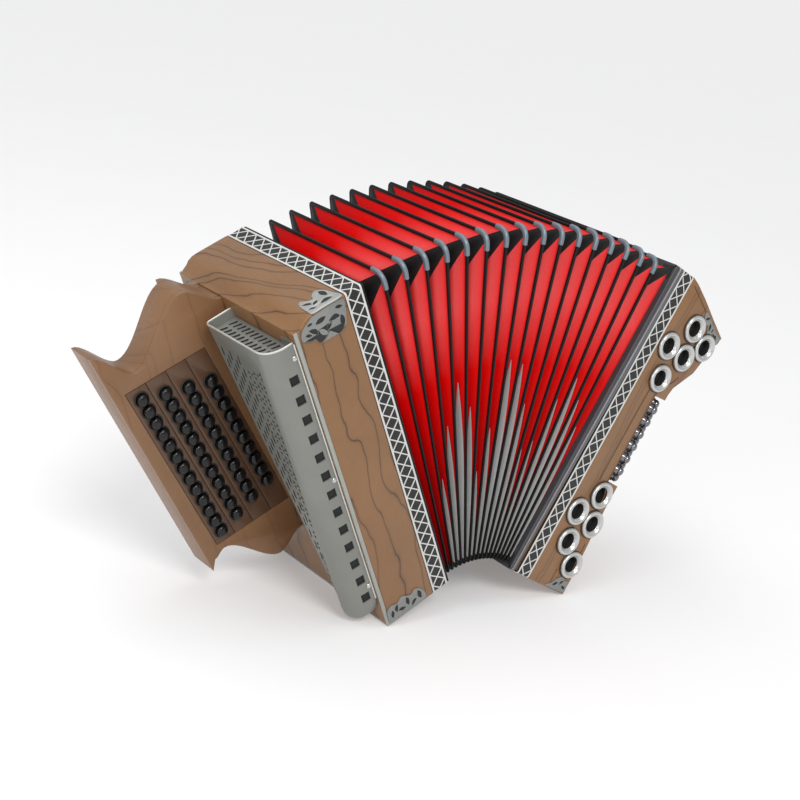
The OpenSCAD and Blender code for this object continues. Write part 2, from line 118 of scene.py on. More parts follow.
class Place:
    """Local frame in millimetres: x outward from the bellows, y back, z up the casing."""

    def __init__(self, org, out, up):
        self.m = Matrix((
            (out.x * MM, 0, up.x * MM, org.x),
            (out.y * MM, MM, up.y * MM, org.y),
            (out.z * MM, 0, up.z * MM, org.z),
            (0, 0, 0, 1),
        ))

    def __call__(self, p):
        return self.m @ Vector(p)


TREBLE = Place(t_org, t_out, t_up)
BASS = Place(b_org, b_out, b_up)


def fold_place(i):
    a = -lean_t + FAN * i / GAPS
    up = Vector((math.sin(a), 0, math.cos(a)))
    out = Vector((math.cos(a), 0, -math.sin(a)))
    return Place(arc_c + up * ARC_R * MM, out, up)


# ------------------------------------------------------------------- materials
class Nodes:
    def __init__(self, name):
        self.mat = bpy.data.materials.new(name)
        self.mat.use_nodes = True
        self.t = self.mat.node_tree
        self.bsdf = self.t.nodes["Principled BSDF"]

    def add(self, kind, **sockets):
        n = self.t.nodes.new(kind)
        for key, val in sockets.items():
            self.put(n, key, val)
        return n

    def put(self, n, key, val):
        sock = n.inputs[key] if not isinstance(key, str) or key in n.inputs else n.inputs[int(key[1:])]
        if isinstance(val, bpy.types.NodeSocket):
            self.t.links.new(val, sock)
        else:
            sock.default_value = val

    def math(self, op, a, b=0.0, c=None):
        n = self.t.nodes.new("ShaderNodeMath")
        n.operation = op
        self.put(n, "_0", a)
        self.put(n, "_1", b)
        if c is not None:
            self.put(n, "_2", c)
        return n.outputs[0]

    def coords(self, turn=0.0, stretch=(1, 1, 1)):
        tc = self.t.nodes.new("ShaderNodeTexCoord")
        m = self.t.nodes.new("ShaderNodeMapping")
        m.vector_type = "POINT"
        self.t.links.new(tc.outputs["Object"], m.inputs["Vector"])
        m.inputs["Rotation"].default_value = (0, turn, 0)
        m.inputs["Scale"].default_value = stretch
        return m.outputs[0]

    def noise(self, vec, scale, detail=3.0, rough=0.5):
        n = self.t.nodes.new("ShaderNodeTexNoise")
        self.t.links.new(vec, n.inputs["Vector"])
        n.inputs["Scale"].default_value = scale
        n.inputs["Detail"].default_value = detail
        n.inputs["Roughness"].default_value = rough
        return n.outputs[0]

    def ramp(self, fac, stops):
        n = self.t.nodes.new("ShaderNodeValToRGB")
        self.t.links.new(fac, n.inputs[0])
        els = n.color_ramp.elements
        while len(els) < len(stops):
            els.new(0.5)
        for e, (pos, col) in zip(els, stops):
            e.position = pos
            e.color = (col, col, col, 1) if isinstance(col, (int, float)) else (*col, 1)
        return n.outputs[0]

    def mix(self, fac, a, b, kind="MIX"):
        n = self.t.nodes.new("ShaderNodeMix")
        n.data_type = "RGBA"
        n.blend_type = kind
        for sock, val in ((n.inputs[0], fac), (n.inputs[6], a), (n.inputs[7], b)):
            if isinstance(val, bpy.types.NodeSocket):
                self.t.links.new(val, sock)
            elif isinstance(val, (int, float)):
                sock.default_value = val
            else:
                sock.default_value = (*val, 1)
        return n.outputs[2]

    def bump(self, height, strength=0.3, distance=0.0006, normal=None):
        n = self.t.nodes.new("ShaderNodeBump")
        n.inputs["Strength"].default_value = strength
        n.inputs["Distance"].default_value = distance
        self.t.links.new(height, n.inputs["Height"])
        if normal is not None:
            self.t.links.new(normal, n.inputs["Normal"])
        return n.outputs[0]

    def finish(self, color=None, rough=None, normal=None, metal=0.0, **other):
        b = self.bsdf
        if color is not None:
            self.put(b, "Base Color", color if isinstance(color, bpy.types.NodeSocket) else (*color, 1))
        if rough is not None:
            self.put(b, "Roughness", rough)
        if normal is not None:
            self.put(b, "Normal", normal)
        b.inputs["Metallic"].default_value = metal
        for key, val in other.items():
            b.inputs[key.replace("_", " ")].default_value = val
        return self.mat


def wood(name, turn, base, dark, spacing=13.0, waves=0.022, lines=1.0):
    n = Nodes(name)
    v = n.coords(turn)
    sep = n.add("ShaderNodeSeparateXYZ", Vector=v)
    slow = n.noise(n.coords(turn, (1, 0.45, 0.45)), 17, 2.0, 0.45)
    wander = n.noise(n.coords(turn, (1, 0.6, 0.6)), 60, 2.0, 0.5)
    x = n.math("ADD", sep.outputs[0], n.math("MULTIPLY", sep.outputs[1], 0.42))
    x = n.math("ADD", x, n.math("MULTIPLY", slow, waves * 2.6))
    x = n.math("ADD", x, n.math("MULTIPLY", wander, 0.006))
    rings = []
    for step, shift in ((spacing, 0.0), (spacing * 1.73, 0.37)):
        f = n.math("FRACT", n.math("ADD", n.math("DIVIDE", x, step * MM), shift))
        d = n.math("MULTIPLY", n.math("ABSOLUTE", n.math("SUBTRACT", f, 0.5)), step)
        rings.append(d)
    near = n.math("MINIMUM", rings[0], rings[1])
    line = n.ramp(n.math("DIVIDE", near, 4.0), [(0.0, 1.0), (0.09, 0.85), (0.17, 0.12), (0.5, 0.0)])
    broad = n.ramp(n.math("DIVIDE", near, 5.0), [(0.0, 0.55), (0.75, 0.0)])
    fibre = n.noise(n.coords(turn, (14, 1.2, 1.2)), 90, 4.0, 0.65)
    tone = n.noise(v, 22, 3.0, 0.5)
    body = n.mix(tone, tuple(c * 0.84 for c in base), tuple(min(1, c * 1.16) for c in base))
    body = n.mix(n.math("MULTIPLY", fibre, 0.35), body, dark)
    body = n.mix(n.math("MULTIPLY", broad, 0.30 * lines), body, dark)
    body = n.mix(n.math("MULTIPLY", line, 0.88 * lines), body, tuple(c * 0.62 for c in dark))
    grain = n.math("SUBTRACT", n.math("MULTIPLY", fibre, 0.25), n.math("MULTIPLY", line, 0.8 * lines))
    rough = n.ramp(fibre, [(0.2, 0.36), (0.8, 0.52)])
    return n.finish(body, rough, n.bump(grain, 0.35, 0.0005), Coat_Weight=0.18, Coat_Roughness=0.25)


def metal(name, base, rough=0.35, metallic=0.8, mottle=0.15, bump=0.08, scale=180, worn=0.0):
    n = Nodes(name)
    v = n.coords()
    fine = n.noise(v, scale * 6, 4.0, 0.6)
    slow = n.noise(v, scale * 0.2, 3.0, 0.5)
    col = n.mix(slow, tuple(c * (1 - mottle) for c in base), tuple(min(1, c * (1 + mottle)) for c in base))
    if worn:
        col = n.mix(n.ramp(fine, [(0.55, 0.0), (0.75, worn)]), col, tuple(c * 0.55 for c in base))
    r = n.math("ADD", n.math("MULTIPLY", n.math("SUBTRACT", fine, 0.5), 0.25), rough)
    return n.finish(col, r, n.bump(fine, bump, 0.0003), metal=metallic)


def plain(name, base, rough=0.4, mottle=0.2, bump=0.1, scale=400, metal_=0.0, coat=0.0, spec=0.5):
    n = Nodes(name)
    v = n.coords()
    fine = n.noise(v, scale, 4.0, 0.6)
    slow = n.noise(v, scale * 0.1, 2.0, 0.5)
    col = n.mix(slow, tuple(c * (1 - mottle) for c in base), tuple(min(1, c * (1 + mottle)) for c in base))
    r = n.math("ADD", n.math("MULTIPLY", n.math("SUBTRACT", fine, 0.5), 0.2), rough)
    return n.finish(col, r, n.bump(fine, bump, 0.0003), metal=metal_, Coat_Weight=coat, Coat_Roughness=0.1,
                    Specular_IOR_Level=spec)


def cloth(name, base, pale, shade_red):
    """Waxed bellows cloth with its light and shade painted in: darker towards the foot, a speckled pink
    painted highlight near the top, painted shade in each valley and beside the ridges. UV v runs up the
    pleat, u across it.
    """
    n = Nodes(name)
    uv = n.t.nodes.new("ShaderNodeTexCoord").outputs["UV"]
    sep = n.add("ShaderNodeSeparateXYZ", Vector=uv)
    m = n.t.nodes.new("ShaderNodeMapping")
    m.inputs["Scale"].default_value = (1, 1, 1)
    n.t.links.new(uv, m.inputs["Vector"])
    speck = n.noise(m.outputs[0], 900, 3.0, 0.7)
    slow = n.noise(m.outputs[0], 22, 2.0, 0.5)
    height = n.math("ADD", sep.outputs[1], n.math("MULTIPLY", n.math("SUBTRACT", slow, 0.5), 0.05))
    # painted shade: darker towards the foot of the pleat, lightest near the top
    up = n.ramp(height, [(0.05, 0.1), (0.32, 0.35), (0.58, 0.8), (0.78, 1.0), (0.93, 0.9)])
    col = n.mix(up, shade_red, base)
    # painted highlight: speckled pink near the top, strongest mid-panel
    glow = n.ramp(height, [(0.60, 0.0), (0.80, 1.0), (0.93, 0.75)])
    across = n.ramp(sep.outputs[0], [(0.0, 0.0), (0.45, 1.0), (1.0, 0.15)])
    dots = n.ramp(speck, [(0.42, 0.25), (0.66, 1.0)])
    fac = n.math("MULTIPLY", n.math("MULTIPLY", glow, across), n.math("MULTIPLY", dots, 0.5))
    col = n.mix(fac, col, pale)
    # painted shade in the valley of each pleat and beside the ridge tape
    edge = n.ramp(sep.outputs[0], [(0.0, 0.8), (0.38, 0.0), (0.88, 0.0), (1.0, 0.5)])
    col = n.mix(edge, col, tuple(c * 0.45 for c in shade_red))
    weave = n.t.nodes.new("ShaderNodeTexWave")
    weave.bands_direction = "DIAGONAL"
    weave.inputs["Scale"].default_value = 160
    n.t.links.new(m.outputs[0], weave.inputs["Vector"])
    h = n.math("ADD", n.math("MULTIPLY", weave.outputs["Fac"], 0.35), speck)
    r = n.ramp(speck, [(0.3, 0.42), (0.7, 0.6)])
    return n.finish(col, r, n.bump(h, 0.22, 0.0004), Specular_IOR_Level=0.12)


turn_t = lean_t
turn_b = -lean_b
M = {
    "wood_t": wood("walnut treble casing", turn_t, (0.235, 0.115, 0.042), (0.085, 0.038, 0.016), 22.0,
    0.020),
    "wood_b": wood("walnut bass casing", turn_b, (0.235, 0.115, 0.042), (0.085, 0.038, 0.016), 26.0, 0.010,
    0.6),
    "board": wood("walnut fingerboard", turn_t, (0.215, 0.108, 0.047), (0.08, 0.036, 0.015), 34.0, 0.012,
    0.3),
    "panel": wood("dark button panel", turn_t, (0.090, 0.043, 0.020), (0.040, 0.018, 0.008), 30.0, 0.010,
    0.2),
    "spruce": wood("raw spruce blocks", turn_t, (0.62, 0.46, 0.27), (0.42, 0.27, 0.14), 5.0, 0.004, 0.5),
    # painted shade: thin dark strips stand for the shade in the moulding grooves of the bass casing
    "groove_shade": plain("painted groove shade", (0.09, 0.042, 0.02), 0.4),
    "lattice": plain("ivory lattice", (0.56, 0.56, 0.54), 0.42, 0.08, 0.05),
    "inlay": plain("black inlay ground", (0.007, 0.007, 0.007), 0.45, 0.3, 0.12),
    "edge": metal("grey edge band", (0.35, 0.36, 0.33), 0.4, 0.5),
    # painted light: the filigree silver comes twice, a lighter copy for the top plate and a darker
    # painted-shade copy for the front plates
    "filigree": metal("engraved silver painted light", (0.42, 0.43, 0.41), 0.36, 0.55, 0.12, 0.12, 120, 0.3),
    "filigree_painted_shade": metal("engraved silver painted shade", (0.24, 0.25, 0.24), 0.42, 0.5, 0.2, 0.15, 120, 0.4),
    # painted shade: near-black sheet behind the filigree piercings and in the gaps of the button panel
    "recess": plain("painted shade behind piercing", (0.018, 0.018, 0.018), 0.7),
    "grille": metal("satin grille sheet", (0.21, 0.215, 0.195), 0.40, 0.42, 0.10, 0.12, 150, 0.15),
    "grille_cloth": plain("black grille cloth", (0.010, 0.010, 0.010), 0.85, 0.3, 0.3, 1500),
    # painted highlight: the rim and flange are the grille's own metal, coloured far brighter
    "rim": metal("grille rim painted highlight", (0.62, 0.63, 0.60), 0.3, 0.6),
    "screw": metal("polished screws", (0.55, 0.55, 0.55), 0.22, 0.9),
    "lever": metal("drawn steel levers", (0.45, 0.45, 0.46), 0.3, 0.9),
    "reed": metal("machined reed plates", (0.62, 0.62, 0.6), 0.35, 0.9, 0.1, 0.1, 260),
    "felt": plain("pallet wood and felt", (0.40, 0.29, 0.18), 0.75, 0.25, 0.25),
    "chrome": metal("polished fittings", (0.62, 0.63, 0.64), 0.2, 0.95),
    "horn": metal("silver horn rings", (0.56, 0.56, 0.55), 0.3, 0.75, 0.06, 0.05),
    "horn_edge": plain("black horn seat", (0.012, 0.012, 0.012), 0.45),
    # painted shade: the bore of each horn ring and a disc across its foot are near-black
    "throat": plain("painted shade in horn throat", (0.008, 0.008, 0.008), 0.7),
    "tape": plain("black bellows tape", (0.005, 0.005, 0.005), 0.5, 0.3, 0.22, 700, spec=0.22),
    "gusset": plain("black leather gusset", (0.008, 0.008, 0.008), 0.55, 0.3, 0.3, 900, spec=0.25),
    "cap": metal("steel corner caps", (0.16, 0.20, 0.235), 0.36, 0.3, 0.1, 0.08, 200),
    "frame_dark": plain("dark grey frame", (0.040, 0.039, 0.045), 0.42, 0.12, 0.1),
    "frame_light": plain("mid grey frame edge", (0.085, 0.085, 0.095), 0.38, 0.1, 0.08),
    "frame_line": metal("grey frame line", (0.30, 0.30, 0.32), 0.35, 0.4),
    "button": plain("polished black buttons", (0.004, 0.004, 0.0045), 0.24, 0.3, 0.02, 300, coat=0.12,
    spec=0.35),
    # painted shade: near-black raised ring round each treble button
    "shade_ring": plain("painted shade rings round buttons", (0.014, 0.012, 0.010), 0.8, 0.3, 0.3, 1500),
    "bass_button": metal("dark chrome buttons", (0.20, 0.20, 0.215), 0.16, 0.85, 0.1, 0.03),
    "leather": plain("brown strap leather", (0.13, 0.06, 0.028), 0.5, 0.25, 0.35, 800),
    "lining": plain("dark strap lining", (0.05, 0.035, 0.025), 0.75, 0.25, 0.4, 1100),
    "thread": plain("waxed thread", (0.55, 0.45, 0.30), 0.6, 0.2, 0.3, 2500),
    "silver_blade": metal("silver pleat blades", (0.34, 0.345, 0.34), 0.5, 0.12, 0.1, 0.2, 240, 0.4),
    # the pale pink is the painted highlight colour, the dark red the painted shade
    "red": cloth("red bellows cloth", (0.74, 0.0, 0.0), (1.0, 0.45, 0.45), (0.17, 0.0, 0.0)),
    "red_inner": plain("red inner card", (0.22, 0.004, 0.006), 0.7),
}


# ---------------------------------------------------------------- mesh helpers
def link(name, mesh, mats, body, replaces=(), smooth=35):
    o = bpy.data.objects.new(name, mesh)
    bpy.context.scene.collection.objects.link(o)
    for m in mats:
        mesh.materials.append(M[m])
    if smooth is not None:
        mesh.polygons.foreach_set("use_smooth", [True] * len(mesh.polygons))
        mesh.set_sharp_from_angle(angle=math.radians(smooth))
    if body:
        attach(o, body)
    if replaces:
        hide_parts(*replaces)
    return o


def mesh_of(bm, name, fix=True, weld=1e-6):
    if weld:
        bmesh.ops.remove_doubles(bm, verts=bm.verts, dist=weld)
    if fix:
        bmesh.ops.recalc_face_normals(bm, faces=bm.faces)
    me = bpy.data.meshes.new(name)
    bm.to_mesh(me)
    bm.free()
    return me


class Build:
    """Collects faces in a local frame; their normals are made consistent at the end."""

    def __init__(self, place):
        self.place = place
        self.bm = bmesh.new()

    def v(self, p):
        return self.bm.verts.new(self.place(p))

    def face(self, vs, mat=0):
        try:
            f = self.bm.faces.new(vs)
            f.material_index = mat
            return f
        except ValueError:
            return None

    def grid(self, rows, mat=0, loop_u=False, loop_v=False, skip=None):
        vs = [[self.v(p) for p in r] for r in rows]
        nr, nc = len(vs), len(vs[0])
        for i in range(nr if loop_u else nr - 1):
            for j in range(nc if loop_v else nc - 1):
                if skip and skip(i, j):
                    continue
                a, b = vs[i], vs[(i + 1) % nr]
                self.face([a[j], a[(j + 1) % nc], b[(j + 1) % nc], b[j]],
                    mat if not callable(mat) else mat(i, j))
        return vs

    def lathe(self, base, axis, side, profile, seg=32, mat=0, mats=None):
        """Profile of (radius, height) turned round axis at base; ends at radius 0 close."""
        other = Vector(axis).cross(Vector(side))
        base = Vector(base)
        rings = []
        for r, h in profile:
            c = base + Vector(axis) * h
            if r < 1e-6:
                rings.append([self.v(c)])
            else:
                rings.append([
                    self.v(c + (Vector(side) * math.cos(t) + other * math.sin(t)) * r)
                    for t in (2 * math.pi * s / seg for s in range(seg))
                ])
        for q, (a, b) in enumerate(zip(rings, rings[1:])):
            m = mats[q] if mats else mat
            for s in range(seg):
                n = (s + 1) % seg
                if len(a) == 1 and len(b) == 1:
                    continue
                if len(a) == 1:
                    self.face([a[0], b[n], b[s]], m)
                elif len(b) == 1:
                    self.face([a[s], a[n], b[0]], m)
                else:
                    self.face([a[s], a[n], b[n], b[s]], m)

    def piece(self, name, mats, body, node, smooth):
        """Finish as the piece that takes the place of one CAD node."""
        return self.done(name, mats, body, (node,), smooth)

    def done(self, name, mats, body, replaces=(), smooth=35, fix=True, weld=2e-6):
        return link(name, mesh_of(self.bm, name, fix, weld), mats, body, replaces, smooth)


def rounded(y0, y1, z0, z1, r, arc=6):
    """Closed path of (y, z, ny, nz, length) round a rectangle with rounded corners."""
    pts = []
    for cy, cz, a0 in ((y1 - r, z0 + r, -90), (y1 - r, z1 - r, 0), (y0 + r, z1 - r, 90),
            (y0 + r, z0 + r, 180)):
        for s in range(arc + 1):
            a = math.radians(a0 + 90 * s / arc)
            pts.append((cy + r * math.cos(a), cz + r * math.sin(a), math.cos(a), math.sin(a)))
    return pts


class Track:
    """Arc-length position on a closed path, for laying inlay bars round a casing."""

    def __init__(self, pts):
        self.p = pts + [pts[0]]
        self.s = [0.0]
        for a, b in zip(self.p, self.p[1:]):
            self.s.append(self.s[-1] + math.hypot(b[0] - a[0], b[1] - a[1]))
        self.total = self.s[-1]

    def at(self, s):
        s %= self.total
        lo_, hi_ = 0, len(self.s) - 1
        while hi_ - lo_ > 1:
            m = (lo_ + hi_) // 2
            if self.s[m] <= s:
                lo_ = m
            else:
                hi_ = m
        a, b = self.p[lo_], self.p[lo_ + 1]
        f = (s - self.s[lo_]) / max(1e-9, self.s[lo_ + 1] - self.s[lo_])
        q = [a[i] + (b[i] - a[i]) * f for i in range(4)]
        ln = math.hypot(q[2], q[3]) or 1
        return q[0], q[1], q[2] / ln, q[3] / ln


def catmull(p0, p1, p2, p3, t):
    """Point at t on the curve from p1 to p2."""
    return 0.5 * ((2 * p1) + (p2 - p0) * t + (2 * p0 - 5 * p1 + 4 * p2 - p3) * t * t
                  + (3 * p1 - p0 - 3 * p2 + p3) * t * t * t)


def smooth_loop(ctrl, n=8):
    """Closed curve through control points (Catmull-Rom)."""
    out = []
    m = len(ctrl)
    for i in range(m):
        p0, p1, p2, p3 = (Vector((*ctrl[(i + d) % m], 0)) for d in (-1, 0, 1, 2))
        for s in range(n):
            t = s / n
            q = catmull(p0, p1, p2, p3, t)
            out.append((q.x, q.y))
    return out


def plate_mesh(name, outline, holes, thick, place, bevel=0.15):
    """Flat sheet with holes and softened edges; outline in the x, y of place, which maps z outward."""
    cu = bpy.data.curves.new(name, "CURVE")
    cu.dimensions = "2D"
    cu.fill_mode = "BOTH"
    for loop in [outline] + list(holes):
        sp = cu.splines.new("POLY")
        sp.points.add(len(loop) - 1)
        for q, (x, y) in zip(sp.points, loop):
            q.co = (x, y, 0, 1)
        sp.use_cyclic_u = True
    cu.extrude = max(0.01, thick / 2 - bevel)
    cu.bevel_depth = bevel
    cu.bevel_resolution = 1
    cu.offset = -bevel
    o = bpy.data.objects.new(name, cu)
    bpy.context.scene.collection.objects.link(o)
    bpy.context.view_layer.update()
    me = bpy.data.meshes.new_from_object(o.evaluated_get(bpy.context.evaluated_depsgraph_get()))
    bpy.data.objects.remove(o)
    bpy.data.curves.remove(cu)
    me.materials.clear()
    me.transform(place)
    bm = bmesh.new()
    bm.from_mesh(me)
    bmesh.ops.remove_doubles(bm, verts=bm.verts, dist=2e-6)
    bmesh.ops.recalc_face_normals(bm, faces=bm.faces)
    bm.to_mesh(me)
    bm.free()
    return me


def face_front(place, u0, y, z0):
    """Matrix for a sheet on a front face: x outward along u, y up, z towards the front."""
    m = place.m
    ax, ay, az = m.col[0].copy(), m.col[1].copy(), m.col[2].copy()
    o = m @ Vector((u0, y, z0))
    return Matrix(((ax.x, az.x, -ay.x, o.x), (ax.y, az.y, -ay.y, o.y), (ax.z, az.z, -ay.z, o.z),
        (0, 0, 0, 1)))


def face_axes(place, org, x, y, z):
    """Matrix for a sheet whose local x, y and z are given directions of the local frame."""
    o = place.m @ Vector(org)
    r = place.m.to_3x3()
    vx, vy, vz = (r @ Vector(d) for d in (x, y, z))
    return Matrix(((vx.x, vy.x, vz.x, o.x), (vx.y, vy.y, vz.y, o.y), (vx.z, vy.z, vz.z, o.z), (0, 0, 0, 1)))


def join(objs_meshes, name):
    bm = bmesh.new()
    for me, mat in objs_meshes:
        tmp = bmesh.new()
        tmp.from_mesh(me)
        for f in tmp.faces:
            f.material_index = mat
        tmp.to_mesh(me)
        tmp.free()
        bm.from_mesh(me)
        bpy.data.meshes.remove(me)
    out = bpy.data.meshes.new(name)
    bm.to_mesh(out)
    bm.free()
    return out


def from_node(node, mats, bevel=0.8, seg=2, angle=28, name=None, body=None, smooth=35):
    """A softened copy of a CAD node: flat faces merged, edges rounded."""
    me = nodes[node].data.copy()
    me.materials.clear()
    bm = bmesh.new()
    bm.from_mesh(me)
    bmesh.ops.remove_doubles(bm, verts=bm.verts, dist=5e-6)
    bmesh.ops.dissolve_limit(bm, angle_limit=math.radians(1.0), verts=bm.verts, edges=bm.edges)
    bm.to_mesh(me)
    bm.free()
    for key in list(me.attributes.keys()):
        if key in ("custom_normal", "sharp_edge", "sharp_face"):
            me.attributes.remove(me.attributes[key])
    o = bpy.data.objects.new("tmp", me)
    bpy.context.scene.collection.objects.link(o)
    mod = o.modifiers.new("bevel", "BEVEL")
    mod.width = bevel * MM
    mod.segments = seg
    mod.limit_method = "ANGLE"
    mod.angle_limit = math.radians(angle)
    mod.use_clamp_overlap = True
    mod.harden_normals = False
    bpy.context.view_layer.update()
    out = bpy.data.meshes.new_from_object(o.evaluated_get(bpy.context.evaluated_depsgraph_get()))
    bpy.data.objects.remove(o)
    return link(name or node + "_piece", out, mats, body or body_of_node(node),
        (node,), smooth)


def body_of_node(node):
    for body, members in record["behaviour"]["bodies"].items():
        if node in members:
            return body
    return None


def stand_in(name, mesh, mats, body, node, smooth):
    """A mesh that takes the place of one CAD node."""
    return link(name, mesh, mats, body, (node,), smooth)


def ease(t):
    return t * t * (3 - 2 * t)


F = -HD  # front face

# --------------------------------------------------------------- treble casing
from_node("treble_casing", ["wood_t"], 1.4, 3, name="treble_casing_wood")
from_node("treble_edge_band", ["edge"], 0.5, 2, name="treble_edge_strip")
from_node("treble_bellows_frame", ["tape"], 0.6, 2, name="treble_frame_ring")


def inlay_band(name, place, w0, width, node, body):
    """Ivory lattice over a black ground, laid round a casing."""
    r = 2.4
    path = rounded(-HD, HD, 0, H, r, 5)
    tr = Track(path)
    b = Build(place)
    # ground
    rows = []
    for y, z, ny, nz in path:
        rows.append([
            (w0 + w, y + ny * h, z + nz * h)
            for w, h in ((0, -2), (0, -0.35), (0.3, -0.15), (width - 0.3, -0.15), (width, -0.35),
            (width, -2))
        ])
    b.grid(rows, 1, loop_u=True, loop_v=True)

    def strip(pts, half, low, high, mat=0):
        """Bar with a bevelled top along (s, w) points."""
        rows_ = []
        for k_, (s, w) in enumerate(pts):
            s2, w2 = pts[min(k_ + 1, len(pts) - 1)]
            s1, w1 = pts[max(k_ - 1, 0)]
            ds, dw = s2 - s1, w2 - w1
            ln = math.hypot(ds, dw)
            ns, nw = -dw / ln, ds / ln
            row = []
            for a, h in ((-1, low), (-1, high - 0.15), (-0.7, high), (0.7, high), (1, high - 0.15),
                    (1, low)):
                y, z, ny, nz = tr.at(s + ns * half * a)
                row.append((w0 + w + nw * half * a, y + ny * h, z + nz * h))
            rows_.append(row)
        vs = b.grid(rows_, mat, loop_v=True)
        b.face(vs[0], mat)
        b.face(vs[-1][::-1], mat)

    def rail(w, half, high):
        rows_ = []
        for y, z, ny, nz in path:
            rows_.append([
                (w0 + w + half * a, y + ny * h, z + nz * h)
                for a, h in ((-1, -0.3), (-1, high - 0.2), (-0.7, high), (0.7, high), (1, high - 0.2),
                (1, -0.3))
            ])
        b.grid(rows_, 0, loop_u=True, loop_v=True)

    rail(1.25, 0.95, 0.5)
    rail(width - 1.25, 0.95, 0.5)
    n = round(tr.total / 14.5)
    step = tr.total / n
    lo_w, hi_w = 1.9, width - 1.9
    for q in range(n):
        for sgn in (1, -1):
            a_, b_ = (lo_w, hi_w) if sgn > 0 else (hi_w, lo_w)
            pts = [(step * (q + t / 6), a_ + (b_ - a_) * t / 6) for t in range(7)]
            strip(pts, 0.62, -0.3, 0.35 if sgn > 0 else 0.28)
    return b.piece(name, ["lattice", "inlay"], body, node, 30)


INLAY_T = [reach("treble_inlay_band", t_out, q) / MM - t_org.dot(t_out) / MM for q in (True, False)]
INLAY_B = [reach("bass_inlay_band", b_out, q) / MM - b_org.dot(b_out) / MM for q in (True, False)]
inlay_band("treble_lattice", TREBLE, INLAY_T[0], INLAY_T[1] - INLAY_T[0], "treble_inlay_band",
    "treble_side")
inlay_band("bass_lattice", BASS, INLAY_B[0], INLAY_B[1] - INLAY_B[0], "bass_inlay_band", "bass_side")


def comma(cx, cy, size, ang, curl=1):
    """Leaf-shaped piercing with one curled end."""
    pts = []
    for k_ in range(9):
        t = k_ / 8
        pts.append((t, 0.30 * math.sin(math.pi * t) ** 0.8 + 0.25 * curl * t * t))
    for k_ in range(8, -1, -1):
        t = k_ / 8
        if k_ in (0, 8):
            continue
        pts.append((t, -0.16 * math.sin(math.pi * t) + 0.25 * curl * t * t))
    ca, sa = cosd(ang), sind(ang)
    return [(cx + size * ((x - 0.5) * ca - y * sa), cy + size * ((x - 0.5) * sa + y * ca)) for x, y in pts]


def filigree(name, sheets, body, node):
    """Pierced plates over a near-black sheet of painted shade that darkens the piercings, one object."""
    parts = []
    for outline, holes, place, mat, thick in sheets:
        parts.append((plate_mesh(name, outline, holes, thick, place, 0.22), mat))
        # a shrunk copy of each outline just behind the plate carries the painted shade seen through the
        # piercings
        inner = []
        c = Vector((sum(p[0] for p in outline), sum(p[1] for p in outline))) / len(outline)
        for p in outline:
            d = Vector(p) - c
            inner.append(tuple(c + d * (1 - 1.6 / max(d.length, 4))))
        m = place @ Matrix.Translation((0, 0, -thick * 0.45))
        parts.append((plate_mesh(name, inner, [], 0.3, m, 0.05), 2))
    return stand_in(name, join(parts, name), ["filigree", "filigree_painted_shade", "recess"], body, node, 30)


u0, u1 = TW - 57, TW - 5
front_out = smooth_loop([
    (u0, H - 3), (u0 + 1, H - 17), (u0 + 5, H - 29), (u0 + 12, H - 33), (u0 + 18, H - 28),
    (u0 + 22, H - 25),
    (u0 + 28, H - 30), (u0 + 35, H - 31), (u0 + 39, H - 25), (u0 + 44, H - 24), (u1 - 1, H - 19),
    (u1 - 2, H - 12),
    (u1 - 6, H - 8), (u1 - 12, H - 4.4), (u1 - 18, H - 1.8), (u1 - 30, H - 1.0), (u0 + 10, H - 1.0),
])
front_holes = [
    comma(u0 + 8, H - 22, 12, 75), comma(u0 + 13.5, H - 14, 12, 20, -1), comma(u0 + 20, H - 20, 9, -60),
    comma(u0 + 29, H - 23, 11, 30), comma(u0 + 27, H - 11, 12, -25), comma(u0 + 37, H - 16, 11, 60, -1),
    comma(u0 + 6.5, H - 8, 8, 0), comma(u0 + 43.5, H - 18, 7, 10), comma(u0 + 39, H - 8.5, 6, -15),
]
top_out = smooth_loop([
    (u0, F), (u0 + 1, F + 12), (u0 + 4, F + 24), (u0 + 10, F + 29), (u0 + 16, F + 25), (u0 + 19, F + 19),
    (u0 + 24, F + 22), (u0 + 29, F + 26), (u0 + 33, F + 20), (u0 + 34, F + 8), (u0 + 33, F),
    (u0 + 20, F - 0.4),
])
top_holes = [
    comma(u0 + 9, F + 19, 13, 70), comma(u0 + 12, F + 8, 13, 15, -1), comma(u0 + 20, F + 12, 8, -50),
    comma(u0 + 27, F + 17, 10, 60, -1), comma(u0 + 28, F + 6, 8, 5),
]
foot_out = smooth_loop([
    (TW - 50, 2), (TW - 51, 9), (TW - 47, 17), (TW - 41, 21), (TW - 35, 18), (TW - 30, 20), (TW - 24, 23),
    (TW - 17, 19), (TW - 10, 21), (TW - 4, 17), (TW - 3, 9), (TW - 4, 2), (TW - 14, 1.2), (TW - 28, 1.2),
    (TW - 42, 1.2),
])
foot_holes = [
    comma(TW - 43, 11, 11, 65), comma(TW - 36, 8, 9, -20, -1), comma(TW - 28, 13, 10, 70),
    comma(TW - 21, 8, 9, 0),
    comma(TW - 15, 14, 9, -60, -1), comma(TW - 8, 10, 9, 80),
]
TOPM = face_axes(TREBLE, (0, 0, H), (1, 0, 0), (0, 1, 0), (0, 0, 1))
# front plates take the painted-shade copy of the silver, the top plate the lit copy
filigree("treble_filigree", [
    (front_out, front_holes, face_front(TREBLE, 0, F - 0.5, 0), 1, 1.0),
    (top_out, top_holes, TOPM @ Matrix.Translation((0, 0, 0.5)), 0, 1.0),
    (foot_out, foot_holes, face_front(TREBLE, 0, F - 0.5, 0), 1, 1.0),
], "treble_side", "treble_corner_fittings")

